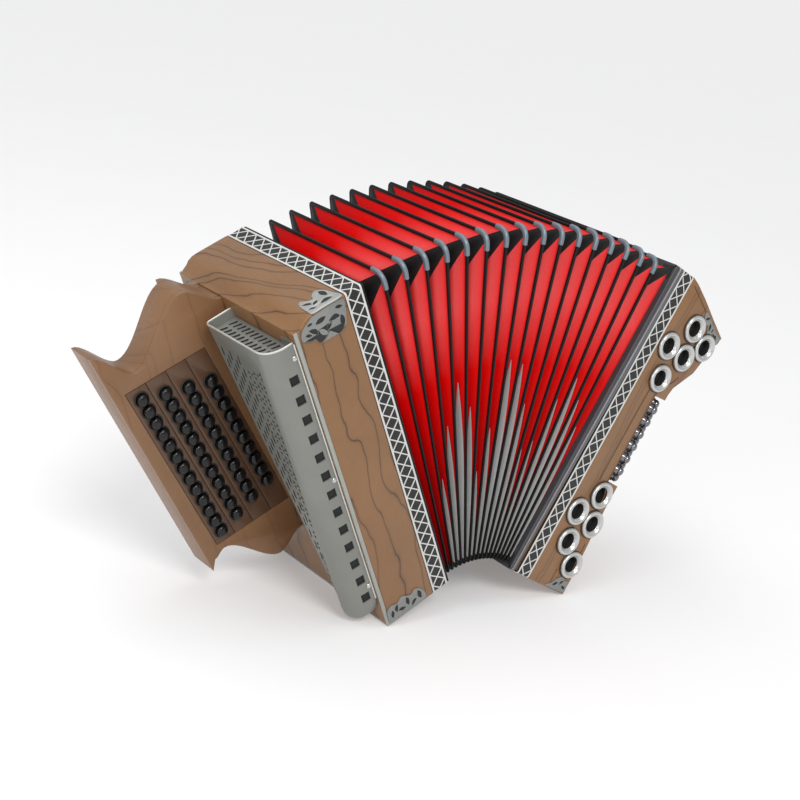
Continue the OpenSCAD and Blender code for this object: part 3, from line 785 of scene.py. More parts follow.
# ---------------------------------------------------------------------- grille
GH = reach("grille", t_out, False) / MM - t_org.dot(t_out) / MM - TW
GF = F + 4
RIM = 20.0
UO = TW + GH
Z_TOP = reach("grille", t_up, False) / MM - t_org.dot(t_up) / MM
Z_FOOT = reach("grille", t_up) / MM - t_org.dot(t_up) / MM
BACK_Z0, BACK_Y0, BACK_Y1 = Z_FOOT + 20, -76.0, 9.0


def back_y(z):
    return BACK_Y0 + (BACK_Y1 - BACK_Y0) * (z - BACK_Z0) / (Z_TOP - BACK_Z0)


sq_u = (TW + 6.0, TW + 15.4)
squares = [(40.5 + 22 * q, 50.5 + 22 * q) for q in range(13)]
arc_c_u, arc_c_y = UO - RIM, GF + RIM
th_sq = math.asin((sq_u[1] - arc_c_u) / RIM)
cols = [(TW, GF + RIM), (TW, GF + 8), (TW, GF + 1.2), (TW + 0.6, GF + 0.3), (TW + 1.6, GF), (TW + 4, GF),
    (sq_u[0], GF), (arc_c_u, GF)]
for th in [th_sq] + [math.radians(a) for a in (22, 32, 42, 52, 62, 72, 81, 90)]:
    cols.append((arc_c_u + RIM * math.sin(th), arc_c_y - RIM * math.cos(th)))
zs = []
for q, (a, b_) in enumerate(squares):
    zs += [a, b_, b_ + 6.0] if q < 12 else [a, b_]
zs += [z for z in (318, 326, 334, 340, Z_TOP) if z > zs[-1] + 1]
TIP_Z = 39.5
tip = []
for q in range(14, 0, -1):
    be = math.radians(90 * q / 14)
    z = TIP_Z - (TIP_Z - Z_FOOT) * math.sin(be)
    s = (TIP_Z - z) / (TIP_Z - Z_FOOT)
    ku = (1 - s ** 2.6) ** (1 / 2.2)
    kd = math.sqrt(max(0.0, 1 - max(0.0, (s - 0.12) / 0.88) ** 2.2))
    tip.append((z, max(ku, 0.02), max(kd, 0.02)))
g = Build(TREBLE)
UC = TW + 14.5


def grille_rows(t):
    rows = []
    for z, ku, kd in tip:
        rows.append([(UC + (u - UC) * ku * (1 - t / 15), (GF + RIM) + (y - GF - RIM) * kd * (1 - t / RIM),
            z + t * 0.6) for u, y in cols])
    for z in zs:
        rows.append([
            (u + (t if u < TW + 0.1 else 0) - (t * (u - arc_c_u) / RIM if u > arc_c_u else 0),
             y + t * ((GF + RIM - y) / RIM), z) for u, y in cols
        ])
    return rows


outer, inner = grille_rows(0.0), grille_rows(1.5)
sq_col = 6
row_of = {z: len(tip) + q for q, z in enumerate(zs)}
open_rows = {row_of[a] for a, _ in squares}


def is_square(i, j):
    return i in open_rows and j in (sq_col, sq_col + 1)


vo = g.grid(outer, 0, skip=is_square)
vi = g.grid(inner, 0, skip=is_square)
for i in open_rows:
    ring_ = [(i, sq_col), (i, sq_col + 1), (i, sq_col + 2), (i + 1, sq_col + 2), (i + 1, sq_col + 1),
        (i + 1, sq_col)]
    for (a, b_), (c, d_) in zip(ring_, ring_[1:] + ring_[:1]):
        g.face([vo[a][b_], vo[c][d_], vi[c][d_], vi[a][b_]])
nr, nc = len(outer), len(cols)
for i in range(nr - 1):
    for j in (0, nc - 1):
        g.face([vo[i][j], vo[i + 1][j], vi[i + 1][j], vi[i][j]])
for j in range(nc - 1):
    for i in (0, nr - 1):
        g.face([vo[i][j], vo[i][j + 1], vi[i][j + 1], vi[i][j]])
# back of the rounded tip
tipback = [r[0] for r in vo[:len(tip) + 1]]
tipend = [r[-1] for r in vo[:len(tip) + 1]]
for (a, b_), (c, d_) in zip(zip(tipback, tipback[1:]), zip(tipend, tipend[1:])):
    g.face([a, b_, d_, c])

# rear wall with a rounded shoulder, along the slanting back edge
dv = Vector((0, BACK_Y1 - BACK_Y0, Z_TOP - BACK_Z0)).normalized()
nv = Vector((0, dv.z, -dv.y))
SH = 5.0
rows = []
for q in range(25):
    z = BACK_Z0 + 3 + (Z_TOP - BACK_Z0 - 3) * q / 24
    c = Vector((0, back_y(z), z))
    row = []
    for t in (0.0, 1.5):
        sec = []
        for a in range(0, 91, 15):
            r_ = SH - t
            sec.append((UO - SH + r_ * cosd(a), -SH + r_ * sind(a)))
        sec.append((TW, -t))
        row.append(sec)
    pts = []
    for uu, w in row[0] + row[1][::-1]:
        p = c + nv * w
        # keep the upper end level with the rim
        p = p + dv * ((z - p.z) / dv.z)
        pts.append((uu, max(p.y, GF + RIM - 1), p.z))
    rows.append(pts)
vs = g.grid(rows, 0, loop_v=True)
g.face(vs[0])
g.face(vs[-1][::-1])
shell = g.bm
bmesh.ops.remove_doubles(shell, verts=shell.verts, dist=2e-6)
bmesh.ops.recalc_face_normals(shell, faces=shell.faces)
shell_me = bpy.data.meshes.new("grille_shell")
shell.to_mesh(shell_me)
shell.free()

# flat outer face with slits at the back and small triangles towards the front
y_front = GF + RIM - 0.2
z_low = BACK_Z0 + (y_front + SH + 1.0 - BACK_Y0) / (BACK_Y1 - BACK_Y0) * (Z_TOP - BACK_Z0)
off = SH / dv.z


def rear(z):
    return back_y(z) - off


outline = [(y_front, Z_TOP), (y_front, z_low), (rear(Z_TOP) + 0.3, Z_TOP)]
holes = []


def poly_at(cy, cz, pts, ang):
    ca, sa = math.cos(ang), math.sin(ang)
    return [(cy + x * ca - y * sa, cz + x * sa + y * ca) for x, y in pts]


lean = math.atan2(dv.y, dv.z)
for kcol in range(8):
    w = 6.0 + 6.9 * kcol
    z = Z_TOP - 24 - (kcol % 2) * 6.5
    while z > z_low + 8:
        y = rear(z) - w
        width = rear(z) - y_front
        if width > 11 and w < width * 0.56 and y > y_front + 6:
            s = 1.0 if width > 26 else 0.8
            slit = [(-1.55 * s, -4.9), (0.2 * s, -5.5), (1.55 * s, -4.1), (1.55 * s, 4.7), (-0.2 * s, 5.5),
                (-1.55 * s, 4.2)]
            holes.append(poly_at(y, z, slit, -lean + math.radians(13)))
        z -= 13.0
for kcol in range(7):
    w = 5.2 + 5.4 * kcol
    z = Z_TOP - 26 - (kcol % 2) * 3.6 - kcol * 1.5
    flip = kcol % 2
    while z > z_low + 6:
        width = rear(z) - y_front
        if w < width * 0.44 - 1.0 and width > 9:
            tri = [(-2.3, -1.9), (2.3, -2.1), (0.1, 2.4)]
            holes.append(poly_at(y_front + w, z, tri, math.radians(180 * flip - 12)))
        flip = 1 - flip
        z -= 7.2
# a few longer slits close the pattern towards the foot
for q in range(4):
    z = z_low + 16 + 9 * q
    holes.append(poly_at(y_front + 3.0, z, [(-0.8, -3.4), (0.8, -2.8), (0.8, 3.2), (-0.8, 3.6)],
        -lean * 0.4))
pm = face_axes(TREBLE, (UO - 0.25, 0, 0), (0, 1, 0), (0, 0, 1), (1, 0, 0))
panel_me = plate_mesh("grille_panel", outline, holes, 0.5, pm, 0.08)
# black cloth just under the sheet
cloth_rows = []
for q in range(len(zs)):
    z = zs[q]
    row = [(UO - 0.62, max(rear(z) - 2, y_front + 0.5), z - 0.5)]
    for a in range(90, -1, -15):
        r_ = RIM - (0.62 if a == 90 else 1.7)
        row.append((arc_c_u + r_ * sind(a), arc_c_y - r_ * cosd(a), z - 0.5))
    row.append((TW + 3, arc_c_y - (RIM - 1.7), z - 0.5))
    cloth_rows.append(row)
gc = Build(TREBLE)
a_ = gc.grid(cloth_rows)
b_rows = [[(u - 0.4 * (u > TW + 12), y + 0.4 * (u <= TW + 25), z) for u, y, z in r] for r in cloth_rows]
b_ = gc.grid(b_rows)
for i in range(len(a_) - 1):
    for j in (0, len(a_[0]) - 1):
        gc.face([a_[i][j], a_[i + 1][j], b_[i + 1][j], b_[i][j]])
for j in range(len(a_[0]) - 1):
    for i in (0, len(a_) - 1):
        gc.face([a_[i][j], a_[i][j + 1], b_[i][j + 1], b_[i][j]])
gc.done("grille_cloth", ["grille_cloth"], "treble_side", (), 40)

# rolled rim round the open top and a thin flange along the casing, coloured much brighter than the sheet:
# painted highlight


def tube(b, pts, rad, mat=0, seg=8, normal_hint=(0, 0, 1)):
    ring_rows = []
    for q, p in enumerate(pts):
        p = Vector(p)
        d = (Vector(pts[min(q + 1, len(pts) - 1)]) - Vector(pts[max(q - 1, 0)])).normalized()
        a = d.cross(Vector(normal_hint)).normalized()
        c = d.cross(a).normalized()
        ring_rows.append([tuple(p + (a * math.cos(t) + c * math.sin(t)) * rad)
            for t in (2 * math.pi * s / seg for s in range(seg))])
    vs_ = b.grid(ring_rows, mat, loop_v=True)
    b.face(vs_[0], mat)
    b.face(vs_[-1][::-1], mat)


gt = Build(TREBLE)
path = [(TW + 0.8, rear(Z_TOP) + off, Z_TOP), (UO - SH, rear(Z_TOP) + off - 0.5, Z_TOP)]
for a in range(75, -1, -15):
    path.append((UO - SH + (SH - 0.5) * cosd(a), rear(Z_TOP) + (off - 0.5) * sind(a), Z_TOP))
path += [(UO - 0.75, y, Z_TOP) for y in (-20, -45, -65)]
for th in range(90, -1, -10):
    path.append((arc_c_u + (RIM - 0.75) * sind(th), arc_c_y - (RIM - 0.75) * cosd(th), Z_TOP))
path += [(TW + 4, GF + 0.75, Z_TOP), (TW + 1.2, GF + 0.9, Z_TOP)]
tube(gt, path, 1.0)
# base flange beside the front edge
fl = [(TW + 1.0, GF - 0.4, Z_TOP - 1), (TW + 1.0, GF - 0.4, 60), (TW + 1.0, GF - 0.2, 38)]
tube(gt, fl, 0.9, 0, 8, (1, 0, 0))
gt_me = mesh_of(gt.bm, "rim")
stand_in("grille_sheet", join([(shell_me, 0), (panel_me, 0), (gt_me, 1)], "grille_sheet"),
    ["grille", "rim"], "treble_side", "grille", 38)

# recessed top plate with two rows of slanting slots
ZL = reach("grille_top_louvre", t_up, False) / MM - t_org.dot(t_up) / MM
lo_out = [(TW + 0.6, y_front - 14), (TW + 0.6, rear(ZL) + off - 2.4), (UO - SH, rear(ZL) + off - 2.4)]
for a in range(75, -1, -15):
    lo_out.append((UO - SH + (SH - 2.2) * cosd(a), rear(ZL) + (off - 2.4) * sind(a)))
for th in range(90, -1, -15):
    lo_out.append((arc_c_u + (RIM - 2.2) * sind(th), arc_c_y - (RIM - 2.2) * cosd(th)))
lo_out = [p for q, p in enumerate(lo_out) if q != 0] + [(TW + 0.6, GF + 2.4)]
slots_ = []
for row_u, shift, n_ in ((TW + 8.5, 0, 12), (TW + 20.0, 0, 12)):
    for q in range(n_):
        cy = GF + 13 + 7.1 * q
        ln = 3.6
        s = [(-ln - 0.6, -1.7), (-ln + 0.6, -2.4), (ln + 0.6, -1.1), (ln + 1.3, 0.2), (ln + 0.6, 1.7),
            (-ln - 0.6, 1.3)]
        slots_.append(poly_at(row_u, cy + shift, s, math.radians(16)))
lm = face_axes(TREBLE, (0, 0, ZL - 0.4), (1, 0, 0), (0, 1, 0), (0, 0, 1))
lou = plate_mesh("louvre", lo_out, slots_, 0.6, lm, 0.1)
stand_in("grille_louvre", lou, ["grille"], "treble_side", "grille_top_louvre", 30)
under = plate_mesh("under", lo_out, [], 0.6, lm @ Matrix.Translation((0, 0, -0.8)), 0.1)
link("louvre_cloth", under, ["grille_cloth"], "treble_side", (), 30)

# screw heads, domed; their slots are not cut
sc = Build(TREBLE)
for z in (56, 190, 330):
    c = (TW + 4, GF, z)
    sc.lathe(c, (0, -1, 0), (1, 0, 0), [(0, -0.4), (2.6, -0.4), (2.6, 0.5), (2.1, 1.0), (1.2, 1.25),
        (0, 1.3)], 24)
sc.piece("grille_screw_heads", ["screw"], "treble_side", "grille_screws", 30)

# ----------------------------------------------------------------- fingerboard
PITCH, ROW_GAP, ROW_LEAN, ROW_Z, ROW_FIRST = 15.0, 22.4, math.radians(8.5), 213.0, 96.0
FY = reach("fingerboard", back) / MM - mid_y / MM
HEAD = 12.0


def span(a, b_, n_):
    """Smooth step from point a to point b, without a itself."""
    return [(a[0] + (b_[0] - a[0]) * q / n_, a[1] + (b_[1] - a[1]) * ease(q / n_))
        for q in range(1, n_ + 1)]


TIP_U = 141
finger = [(0, 352)] + span((0, 352), (38, 378), 8) + span((38, 378), (104, 329), 16) + span((104, 329),
    (TIP_U, 365), 10)
finger += [(105, 85), (99, 96)] + span((99, 96), (86, 102), 5) + span((86, 102), (30, 56),
    14) + span((30, 56), (0, 70), 8)


def leaning(a0, a1, z0, z1):
    """Outline of a strip that leans with the button rows."""
    sl = math.tan(ROW_LEAN)
    return [(a0 + (z0 - ROW_Z) * sl, z0), (a1 + (z0 - ROW_Z) * sl, z0), (a1 + (z1 - ROW_Z) * sl, z1),
        (a0 + (z1 - ROW_Z) * sl, z1)]


PANEL = (ROW_FIRST - 3.5 * ROW_GAP, ROW_FIRST + 0.5 * ROW_GAP, 110.0, 315.0)


def board_at(y0, y1):
    return face_front(TREBLE, TW, (y0 + y1) / 2, 0)


inner_part = [p for p in finger if p[0] <= 39]
fb = [
    (plate_mesh("finger_face", finger, [leaning(*PANEL)], 6.0, board_at(FY, FY + 6), 0.9), 0),
    (plate_mesh("finger_body", finger, [], 32.0, board_at(FY + 6, FY + 38), 1.0), 0),
    (plate_mesh("finger_root", inner_part, [], 8.0, board_at(FY + 38, FY + 46), 1.0), 0),
]
stand_in("fingerboard_wood", join(fb, "fingerboard_wood"), ["board"], "treble_side", "fingerboard", 38)


def button_centre(row, q, n):
    s = (q - (n - 1) / 2) * PITCH
    return (TW + ROW_FIRST - row * ROW_GAP + s * math.sin(ROW_LEAN), FY, ROW_Z + s * math.cos(ROW_LEAN))


ROWS = (13, 12, 11, 10)
BORE = 6.3
strips = []
for row, n_ in enumerate(ROWS):
    mid_a = ROW_FIRST - row * ROW_GAP
    bores = []
    for q in range(n_):
        c = button_centre(row, q, n_)
        bores.append([(c[0] - TW + BORE * math.cos(math.tau * t / 28),
            c[2] + BORE * math.sin(math.tau * t / 28)) for t in range(28)])
    strips.append((plate_mesh(
        "strip", leaning(mid_a - ROW_GAP / 2 + 0.25, mid_a + ROW_GAP / 2 - 0.25, 110.4, 314.6), bores, 2.4,
        board_at(FY + 0.4, FY + 2.8), 0.25), 0))
# near-black backing that shows in the gaps between the strips: painted shade
strips.append((plate_mesh("backing", leaning(PANEL[0] + 0.1, PANEL[1] - 0.1, 110.1, 314.9), [], 1.2,
    board_at(FY + 2.8, FY + 4.0), 0.1), 1))
stand_in("button_panel_wood", join(strips, "button_panel_wood"), ["panel", "recess"], "treble_side",
    "button_panel", 35)

# near-black rings round the buttons stand for the shade where each button sits in its bore: painted shade
shade_ring = Build(TREBLE)
for row, n_ in enumerate(ROWS):
    b = Build(TREBLE)
    node = f"treble_buttons_row_{row + 1}"
    for q in range(n_):
        c = button_centre(row, q, n_)
        r_ = HEAD / 2
        prof = [(0, -11), (1.7, -11), (2.2, -10.6), (2.2, -5), (r_ - 0.3, -5), (r_, -4.7), (r_, 3.6)]
        for a in range(0, 91, 10):
            t = math.radians(a)
            prof.append((max(0.0, (r_ - 1.5) * math.cos(t) + 1.5 * math.cos(t) ** 0.6 if a < 90 else 0.0),
                3.9 + 2.7 * math.sin(t)))
        b.lathe(c, (0, -1, 0), (1, 0, 0), prof, 28)
        shade_ring.lathe(c, (0, -1, 0), (1, 0, 0), [(r_ + 0.35, -0.6), (r_ + 0.35, 0.15), (r_ + 0.7, 0.5),
            (r_ + 1.6, 0.45), (r_ + 2.0, 0.1), (r_ + 2.0, -0.6), (r_ + 0.35, -0.6)], 28)
    a, z_ = Vector(button_centre(row, 0, n_)), Vector(button_centre(row, n_ - 1, n_))
    d = (z_ - a).normalized()
    side = Vector((0, 1, 0)).cross(d)
    rows = []
    for e in (-3, -2.5, (z_ - a).length + 2.5, (z_ - a).length + 3):
        sh = 0.4 if e in (-3, (z_ - a).length + 3) else 0.0
        p = a + d * e
        rows.append([tuple(p + side * x + Vector((0, y, 0))) for x, y in (
            (-3 + sh, 9 + sh), (-2.6, 9), (2.6, 9), (3 - sh, 9 + sh), (3 - sh, 12 - sh), (2.6, 12),
            (-2.6, 12), (-3 + sh, 12 - sh))])
    vs = b.grid(rows, 0, loop_v=True)
    b.face(vs[0])
    b.face(vs[-1][::-1])
    b.piece(f"button_row_{row + 1}", ["button"], f"treble_row_{row + 1}", node, 50)
shade_ring.done("button_shade_rings", ["shade_ring"], "treble_side", (), 40)

from_node("shoulder_strap_eyes", ["chrome"], 0.5, 3, name="strap_eyes")

# --------------------------------------------------------------------- bellows
INS = 4.0
CREST, DEPTH = 3.2, 17.0
LEG = 0.95  # the cloth starts just inside a fold's inner leg, which is 1.0 either way
FRAME_START = 0.02  # the end pleats start on the frame itself
BW, BH0, BH1 = HD - INS, INS, H - INS


def half_round(half, low, top, n=6, foot=None):
    """Cross-section of a tape or cap: sides down to low, round over at top."""
    pts = [(-half if foot is None else -foot, low)]
    for a in range(n + 1):
        t = math.pi * (1 - a / n)
        pts.append((half * math.cos(t), top - half + half * math.sin(t)))
    pts.append((half if foot is None else foot, low))
    return pts


FOLD_R = (5.0, 5.0, 12.0, 6.0)  # rear foot, rear top, front top, front foot


def fold_path():
    out = []
    for c, (cy, cz, a0) in enumerate(((1, 0, -90), (1, 1, 0), (0, 1, 90), (0, 0, 180))):
        r = FOLD_R[c]
        py = BW - r if cy else -BW + r
        pz = BH1 - r if cz else BH0 + r
        for q in range(8):
            a = math.radians(a0 + 90 * q / 7)
            out.append((py + r * math.cos(a), pz + r * math.sin(a), math.cos(a), math.sin(a)))
    return out


def thickness(z):
    """Ridges are finer at the foot, where the folds crowd together."""
    return 0.62 + 0.53 * (z - BH0) / (BH1 - BH0)


def fold_piece(i):
    b = Build(fold_place(i))
    path = fold_path()
    # inner legs are a little thinner than the rolled edge
    sec = half_round(1.25, -2.2, 0.0, 6) + [(1.0, -2.9), (1.0, -4.5), (0.0, -4.7), (-1.0, -4.5),
        (-1.0, -2.9)]
    b.grid([[(x * thickness(z), y + ny * d, z + nz * d) for x, d in sec] for y, z, ny, nz in path], 0,
        loop_u=True, loop_v=True)
    # steel cap bent over the front top corner
    cap = half_round(2.3, -3.6, 0.9, 8, 2.1)
    arc = path[16:24]
    first, last = arc[0], arc[-1]
    ext = [(first[0] + first[3] * e, first[1] - first[2] * e, first[2], first[3])
        for e in (6.2, 6.0, 4.6, 2.4)]
    tail = [(last[0] - last[3] * e, last[1] + last[2] * e, last[2], last[3]) for e in (2.4, 4.6, 6.0, 6.2)]
    run_ = ext + arc + tail
    rows = []
    for q, (y, z, ny, nz) in enumerate(run_):
        sh = {0: 0.55, 1: 0.88}.get(min(q, len(run_) - 1 - q), 1.0)
        row = []
        for x, d in cap:
            e = d * sh if d > 0 else d - (1 - sh) * 0.6
            row.append((x * (0.8 + 0.2 * sh), y + ny * e, z + nz * e))
        rows.append(row)
    vs_ = b.grid(rows, 1, loop_v=True)
    b.face(vs_[0], 1)
    b.face(vs_[-1][::-1], 1)
    node = f"fold_{i:02d}"
    return b.piece(f"{node}_ridge", ["tape", "cap"], node, node, 50)


for i in range(1, FOLDS + 1):
    fold_piece(i)


def gap_at(z):
    """Distance between two neighbouring folds at height z, bellows fanned open."""
    return (ARC_R + z) * FAN / GAPS


def inset(t, z):
    return CREST + min(DEPTH, 0.8 * gap_at(z)) * (1 - abs(2 * t - 1) ** 0.95)


def across(gp, t, z):
    """Place across gap gp: the cloth starts on the flank of each ridge or on the end frame."""
    lo_m = min(0.45, (FRAME_START if gp == 0 else LEG * thickness(z)) / gap_at(z))
    hi_m = min(0.45, (FRAME_START if gp == GAPS - 1 else LEG * thickness(z)) / gap_at(z))
    return gp + lo_m + (1 - lo_m - hi_m) * t


SIDE_N = 9


def skin_ring(t, deeper):
    """Points (y, z, zone, v) round one station of the pleat, t across it."""
    f = 1 - abs(2 * t - 1)
    tall, wide = 3 + 8 * f, 3 + 5 * f

    def side(z):
        return BW - inset(t, z) - deeper
    z0, z1 = BH0 + inset(t, BH0) + deeper, BH1 - inset(t, BH1) - deeper
    rt, rb = 3.0 + 8.0 * f, 2.5 + 1.5 * f
    out = []
    lo_z, hi_z = z0 + rb, z1 - rt

    def up_side(sgn, rising):
        ln = hi_z - lo_z
        foot_f, top_f = min(wide, 0.2 * ln) / ln * 0.8, min(tall, 0.2 * ln) / ln
        stops = [0.0] + [foot_f + (1 - foot_f - top_f) * q / SIDE_N for q in range(SIDE_N + 1)] + [1.0]
        pts = []
        for q, g in enumerate(stops):
            z = lo_z + ln * g
            pts.append((sgn * side(z), z, g))
        if not rising:
            pts.reverse()
        res = []
        for q, (y, z, g) in enumerate(pts[:-1]):
            res.append((y, z, 1 if q in (0, len(pts) - 2) else 0, (z - BH0) / (BH1 - BH0)))
        return res

    def arc_(sgn, top, a0, a1):
        r = rt if top else rb
        res = []
        for q in range(5):
            a = math.radians(a0 + (a1 - a0) * q / 5)
            z = (hi_z if top else lo_z) + r * math.sin(a)
            # v is high on the top arcs and low on the foot arcs, so the cloth's painted light is bright
            # above and dark below
            res.append((sgn * (side(z) - r * (1 - abs(math.cos(a)))), z, 1, 0.9 if top else 0.1))
        return res

    def flat(z, sgn, top):
        r = rt if top else rb
        y0 = sgn * (side(z) - r)
        ln = 2 * abs(y0)
        g_ = min(wide, ln * 0.2) / ln
        stops = [0.0, g_] + [g_ + (1 - 2 * g_) * q / SIDE_N for q in range(1, SIDE_N)] + [1 - g_]
        res = []
        for q, g in enumerate(stops):
            # top panels run lighter at the front and darker to the back, the underside stays dark: painted
            # light through v
            res.append((y0 - 2 * y0 * g, z, 1 if q in (0, len(stops) - 1) else 0,
                (0.84 - 0.42 * g) if top else 0.12))
        return res

    out += up_side(-1, True)
    out += arc_(-1, True, 180, 90)
    out += flat(z1, -1, True)
    out += arc_(1, True, 90, 0)
    out += up_side(1, False)
    out += arc_(1, False, 0, -90)
    out += flat(z0, 1, False)
    out += arc_(-1, False, -90, -180)
    return out


TIPS = {2: 111, 3: 166, 4: 208, 5: 178, 6: 105, 7: 150, 8: 220, 9: 215, 10: 173, 11: 125, 12: 135, 13: 183,
    14: 210, 15: 190, 16: 164}
T_OUT = [0, 0.10, 0.22, 0.34, 0.44, 0.5, 0.56, 0.66, 0.78, 0.90, 1.0]


def pleat(gp):
    """Cloth pleat from edge gp to edge gp + 1, with its silver blade."""
    bm = bmesh.new()
    uv = bm.loops.layers.uv.new("UVMap")

    def put(t, y, z):
        return bm.verts.new(fold_place(across(gp, t, z))((0, y, z)))

    t_rows = [(t, 0.0) for t in T_OUT] + [(t, 0.8) for t in reversed(T_OUT)]
    rings, meta = [], []
    for t, deeper in t_rows:
        pts = skin_ring(t, deeper)
        rings.append([put(t, p[0], p[1]) for p in pts])
        meta.append([(abs(2 * t - 1), p[3], p[2]) for p in pts])
    n = len(rings[0])
    for a in range(len(rings)):
        b_ = (a + 1) % len(rings)
        inner_row = a >= len(T_OUT) - 1
        for j in range(n):
            k_ = (j + 1) % n
            quad = [(a, j), (a, k_), (b_, k_), (b_, j)]
            f = bm.faces.new([rings[r][c] for r, c in quad])
            f.material_index = 2 if inner_row else (1 if meta[a][j][2] else 0)
            for lp, (r, c) in zip(f.loops, quad):
                vv = meta[r][c][1]
                lp[uv].uv = (meta[r][c][0], vv)
    bmesh.ops.recalc_face_normals(bm, faces=bm.faces)
    if gp in TIPS:
        top = TIPS[gp]
        for wall in (0, 1):
            def at(s, z, lift):
                t = 0.5 + 0.5 * s if wall else 0.5 - 0.5 * s
                eps = 0.01

                def raw(s_, z_):
                    t_ = 0.5 + 0.5 * s_ if wall else 0.5 - 0.5 * s_
                    return fold_place(across(gp, t_, z_))((0, -(BW - inset(t_, z_)), z_))
                p = raw(s, z)
                ds = raw(s + eps, z) - raw(s - eps, z)
                dz = raw(s, z + 0.5) - raw(s, z - 0.5)
                nrm = ds.cross(dz).normalized()
                if nrm.y > 0:
                    nrm = -nrm
                return p + nrm * lift * MM
            ln = min(95.0, top * 0.55)
            rows_z = [0.0, 0.15, 0.3, 0.45, 0.6, 0.7, 0.78, 0.85, 0.91, 0.955, 0.985, 1.0]
            grid_rows = []
            for rz in rows_z:
                row = []
                lo_s, hi_s = 0.03, 0.985
                z_mid = 40 + (top - 40) * rz
                f = max(0.0, (z_mid - (top - ln)) / ln)
                sl = lo_s + (0.50 - lo_s) * min(1, f) ** 1.4
                sr = hi_s - (hi_s - 0.54) * f ** 1.8
                for q in range(5):
                    s = sl + (sr - sl) * q / 4
                    z_b = BH0 + inset(0.5 + 0.5 * s, BH0) + 4.0
                    z = z_b + (top - z_b) * rz
                    row.append((s, z))
                grid_rows.append(row)
            up_v = [[bm.verts.new(at(s, z, 0.55 if 0 < q < 4 else 0.35)) for q, (s, z) in enumerate(r)]
                for r in grid_rows]
            dn_v = [[bm.verts.new(at(s, z, 0.02)) for s, z in r] for r in grid_rows]
            faces_ = []

            def add(vs_):
                f_ = bm.faces.new(vs_)
                f_.material_index = 3
                for lp in f_.loops:
                    lp[uv].uv = (0.5, 0.3)
                faces_.append(f_)
            nr_ = len(up_v)
            for i_ in range(nr_ - 1):
                for j in range(4):
                    add([up_v[i_][j], up_v[i_][j + 1], up_v[i_ + 1][j + 1], up_v[i_ + 1][j]])
                    add([dn_v[i_][j], dn_v[i_ + 1][j], dn_v[i_ + 1][j + 1], dn_v[i_][j + 1]])
                for j in (0, 4):
                    add([up_v[i_][j], up_v[i_ + 1][j], dn_v[i_ + 1][j], dn_v[i_][j]])
            for j in range(4):
                for i_ in (0, nr_ - 1):
                    add([up_v[i_][j], up_v[i_][j + 1], dn_v[i_][j + 1], dn_v[i_][j]])
            bmesh.ops.recalc_face_normals(bm, faces=faces_)
    me = bpy.data.meshes.new("pleat")
    bm.to_mesh(me)
    bm.free()
    o = link(f"pleat_{gp + 1:02d}", me, ["red", "gusset", "red_inner", "silver_blade"], None,
        (), 40)
    far = f"fold_{gp + 1:02d}" if gp < FOLDS else "bass_side"
    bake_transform(o, "treble_side", far, start=tuple(t_org), end=tuple(b_org))
    att = o.data.attributes["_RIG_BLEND"]
    full = FAN * (gp + 1) / GAPS
    for v, a in zip(o.data.vertices, att.data):
        ang = math.atan2(v.co.x - arc_c.x, v.co.z - arc_c.z) + lean_t
        a.value = min(1.0, max(0.0, ang / full))
    return o


skins = [pleat(gp) for gp in range(GAPS)]
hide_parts("bellows_skin")

# ---------------------------------------------------------------- bass casing
BFW = INLAY_B[0]
b = Build(BASS)
path = rounded(-HD, HD, 0, H, 3.0, 5)
sec = [(0, -18), (0, -0.8), (0.6, -0.1), (1.0, 0), (4.9, 0), (5.2, -0.5), (5.7, -0.5), (6.0, 0.25),
    (6.6, 0.4), (7.2, 0.3),
       (7.6, 0.05), (BFW - 0.6, 0.05), (BFW - 0.1, -0.3), (BFW - 0.1, -18)]
frame_mat = [0, 0, 0, 0, 0, 0, 2, 2, 2, 1, 1, 1, 1, 0]
# thickness(z) is a slip here: the ring was meant to keep one width over its whole height
b.grid(
    [[(x * thickness(z), y + ny * d, z + nz * d) for x, d in sec] for y, z, ny, nz in path],
    lambda i_, j: frame_mat[j], loop_u=True, loop_v=True)
b.piece("bass_frame_ring", ["frame_dark", "frame_light", "frame_line"], "bass_side", "bass_bellows_frame",
    35)
from_node("bass_casing", ["wood_b"], 1.4, 3, 24, name="bass_casing_wood", smooth=38)

# dark strips on the bass front where the casing has moulding grooves: the groove shade is painted
bead = Build(BASS)


def polyline(b_, pts, rad, mat=0, y=F, n=5):
    dense = []
    for (ua, za), (ub, zb) in zip(pts, pts[1:]):
        for q in range(n):
            dense.append((ua + (ub - ua) * q / n, y, za + (zb - za) * q / n))
    dense.append((pts[-1][0], y, pts[-1][1]))
    tube(b_, dense, rad, mat, 8, (0, 1, 0))


polyline(bead, [(58, 128), (57.5, 160), (57.5, 200), (58, 238)], 0.7)
polyline(bead, [(80, 98), (78, 116), (71, 129), (71, 184), (71, 239), (79, 250), (88, 260), (91, 266)], 0.7)
polyline(bead, [(40, 356), (66, 346), (80, 340.5)], 0.6)
polyline(bead, [(68, 4), (68, 22)], 0.6)
polyline(bead, [(92, 22), (89, 60)], 0.6)
bead.done("bass_beading", ["groove_shade"], "bass_side", (), 60)

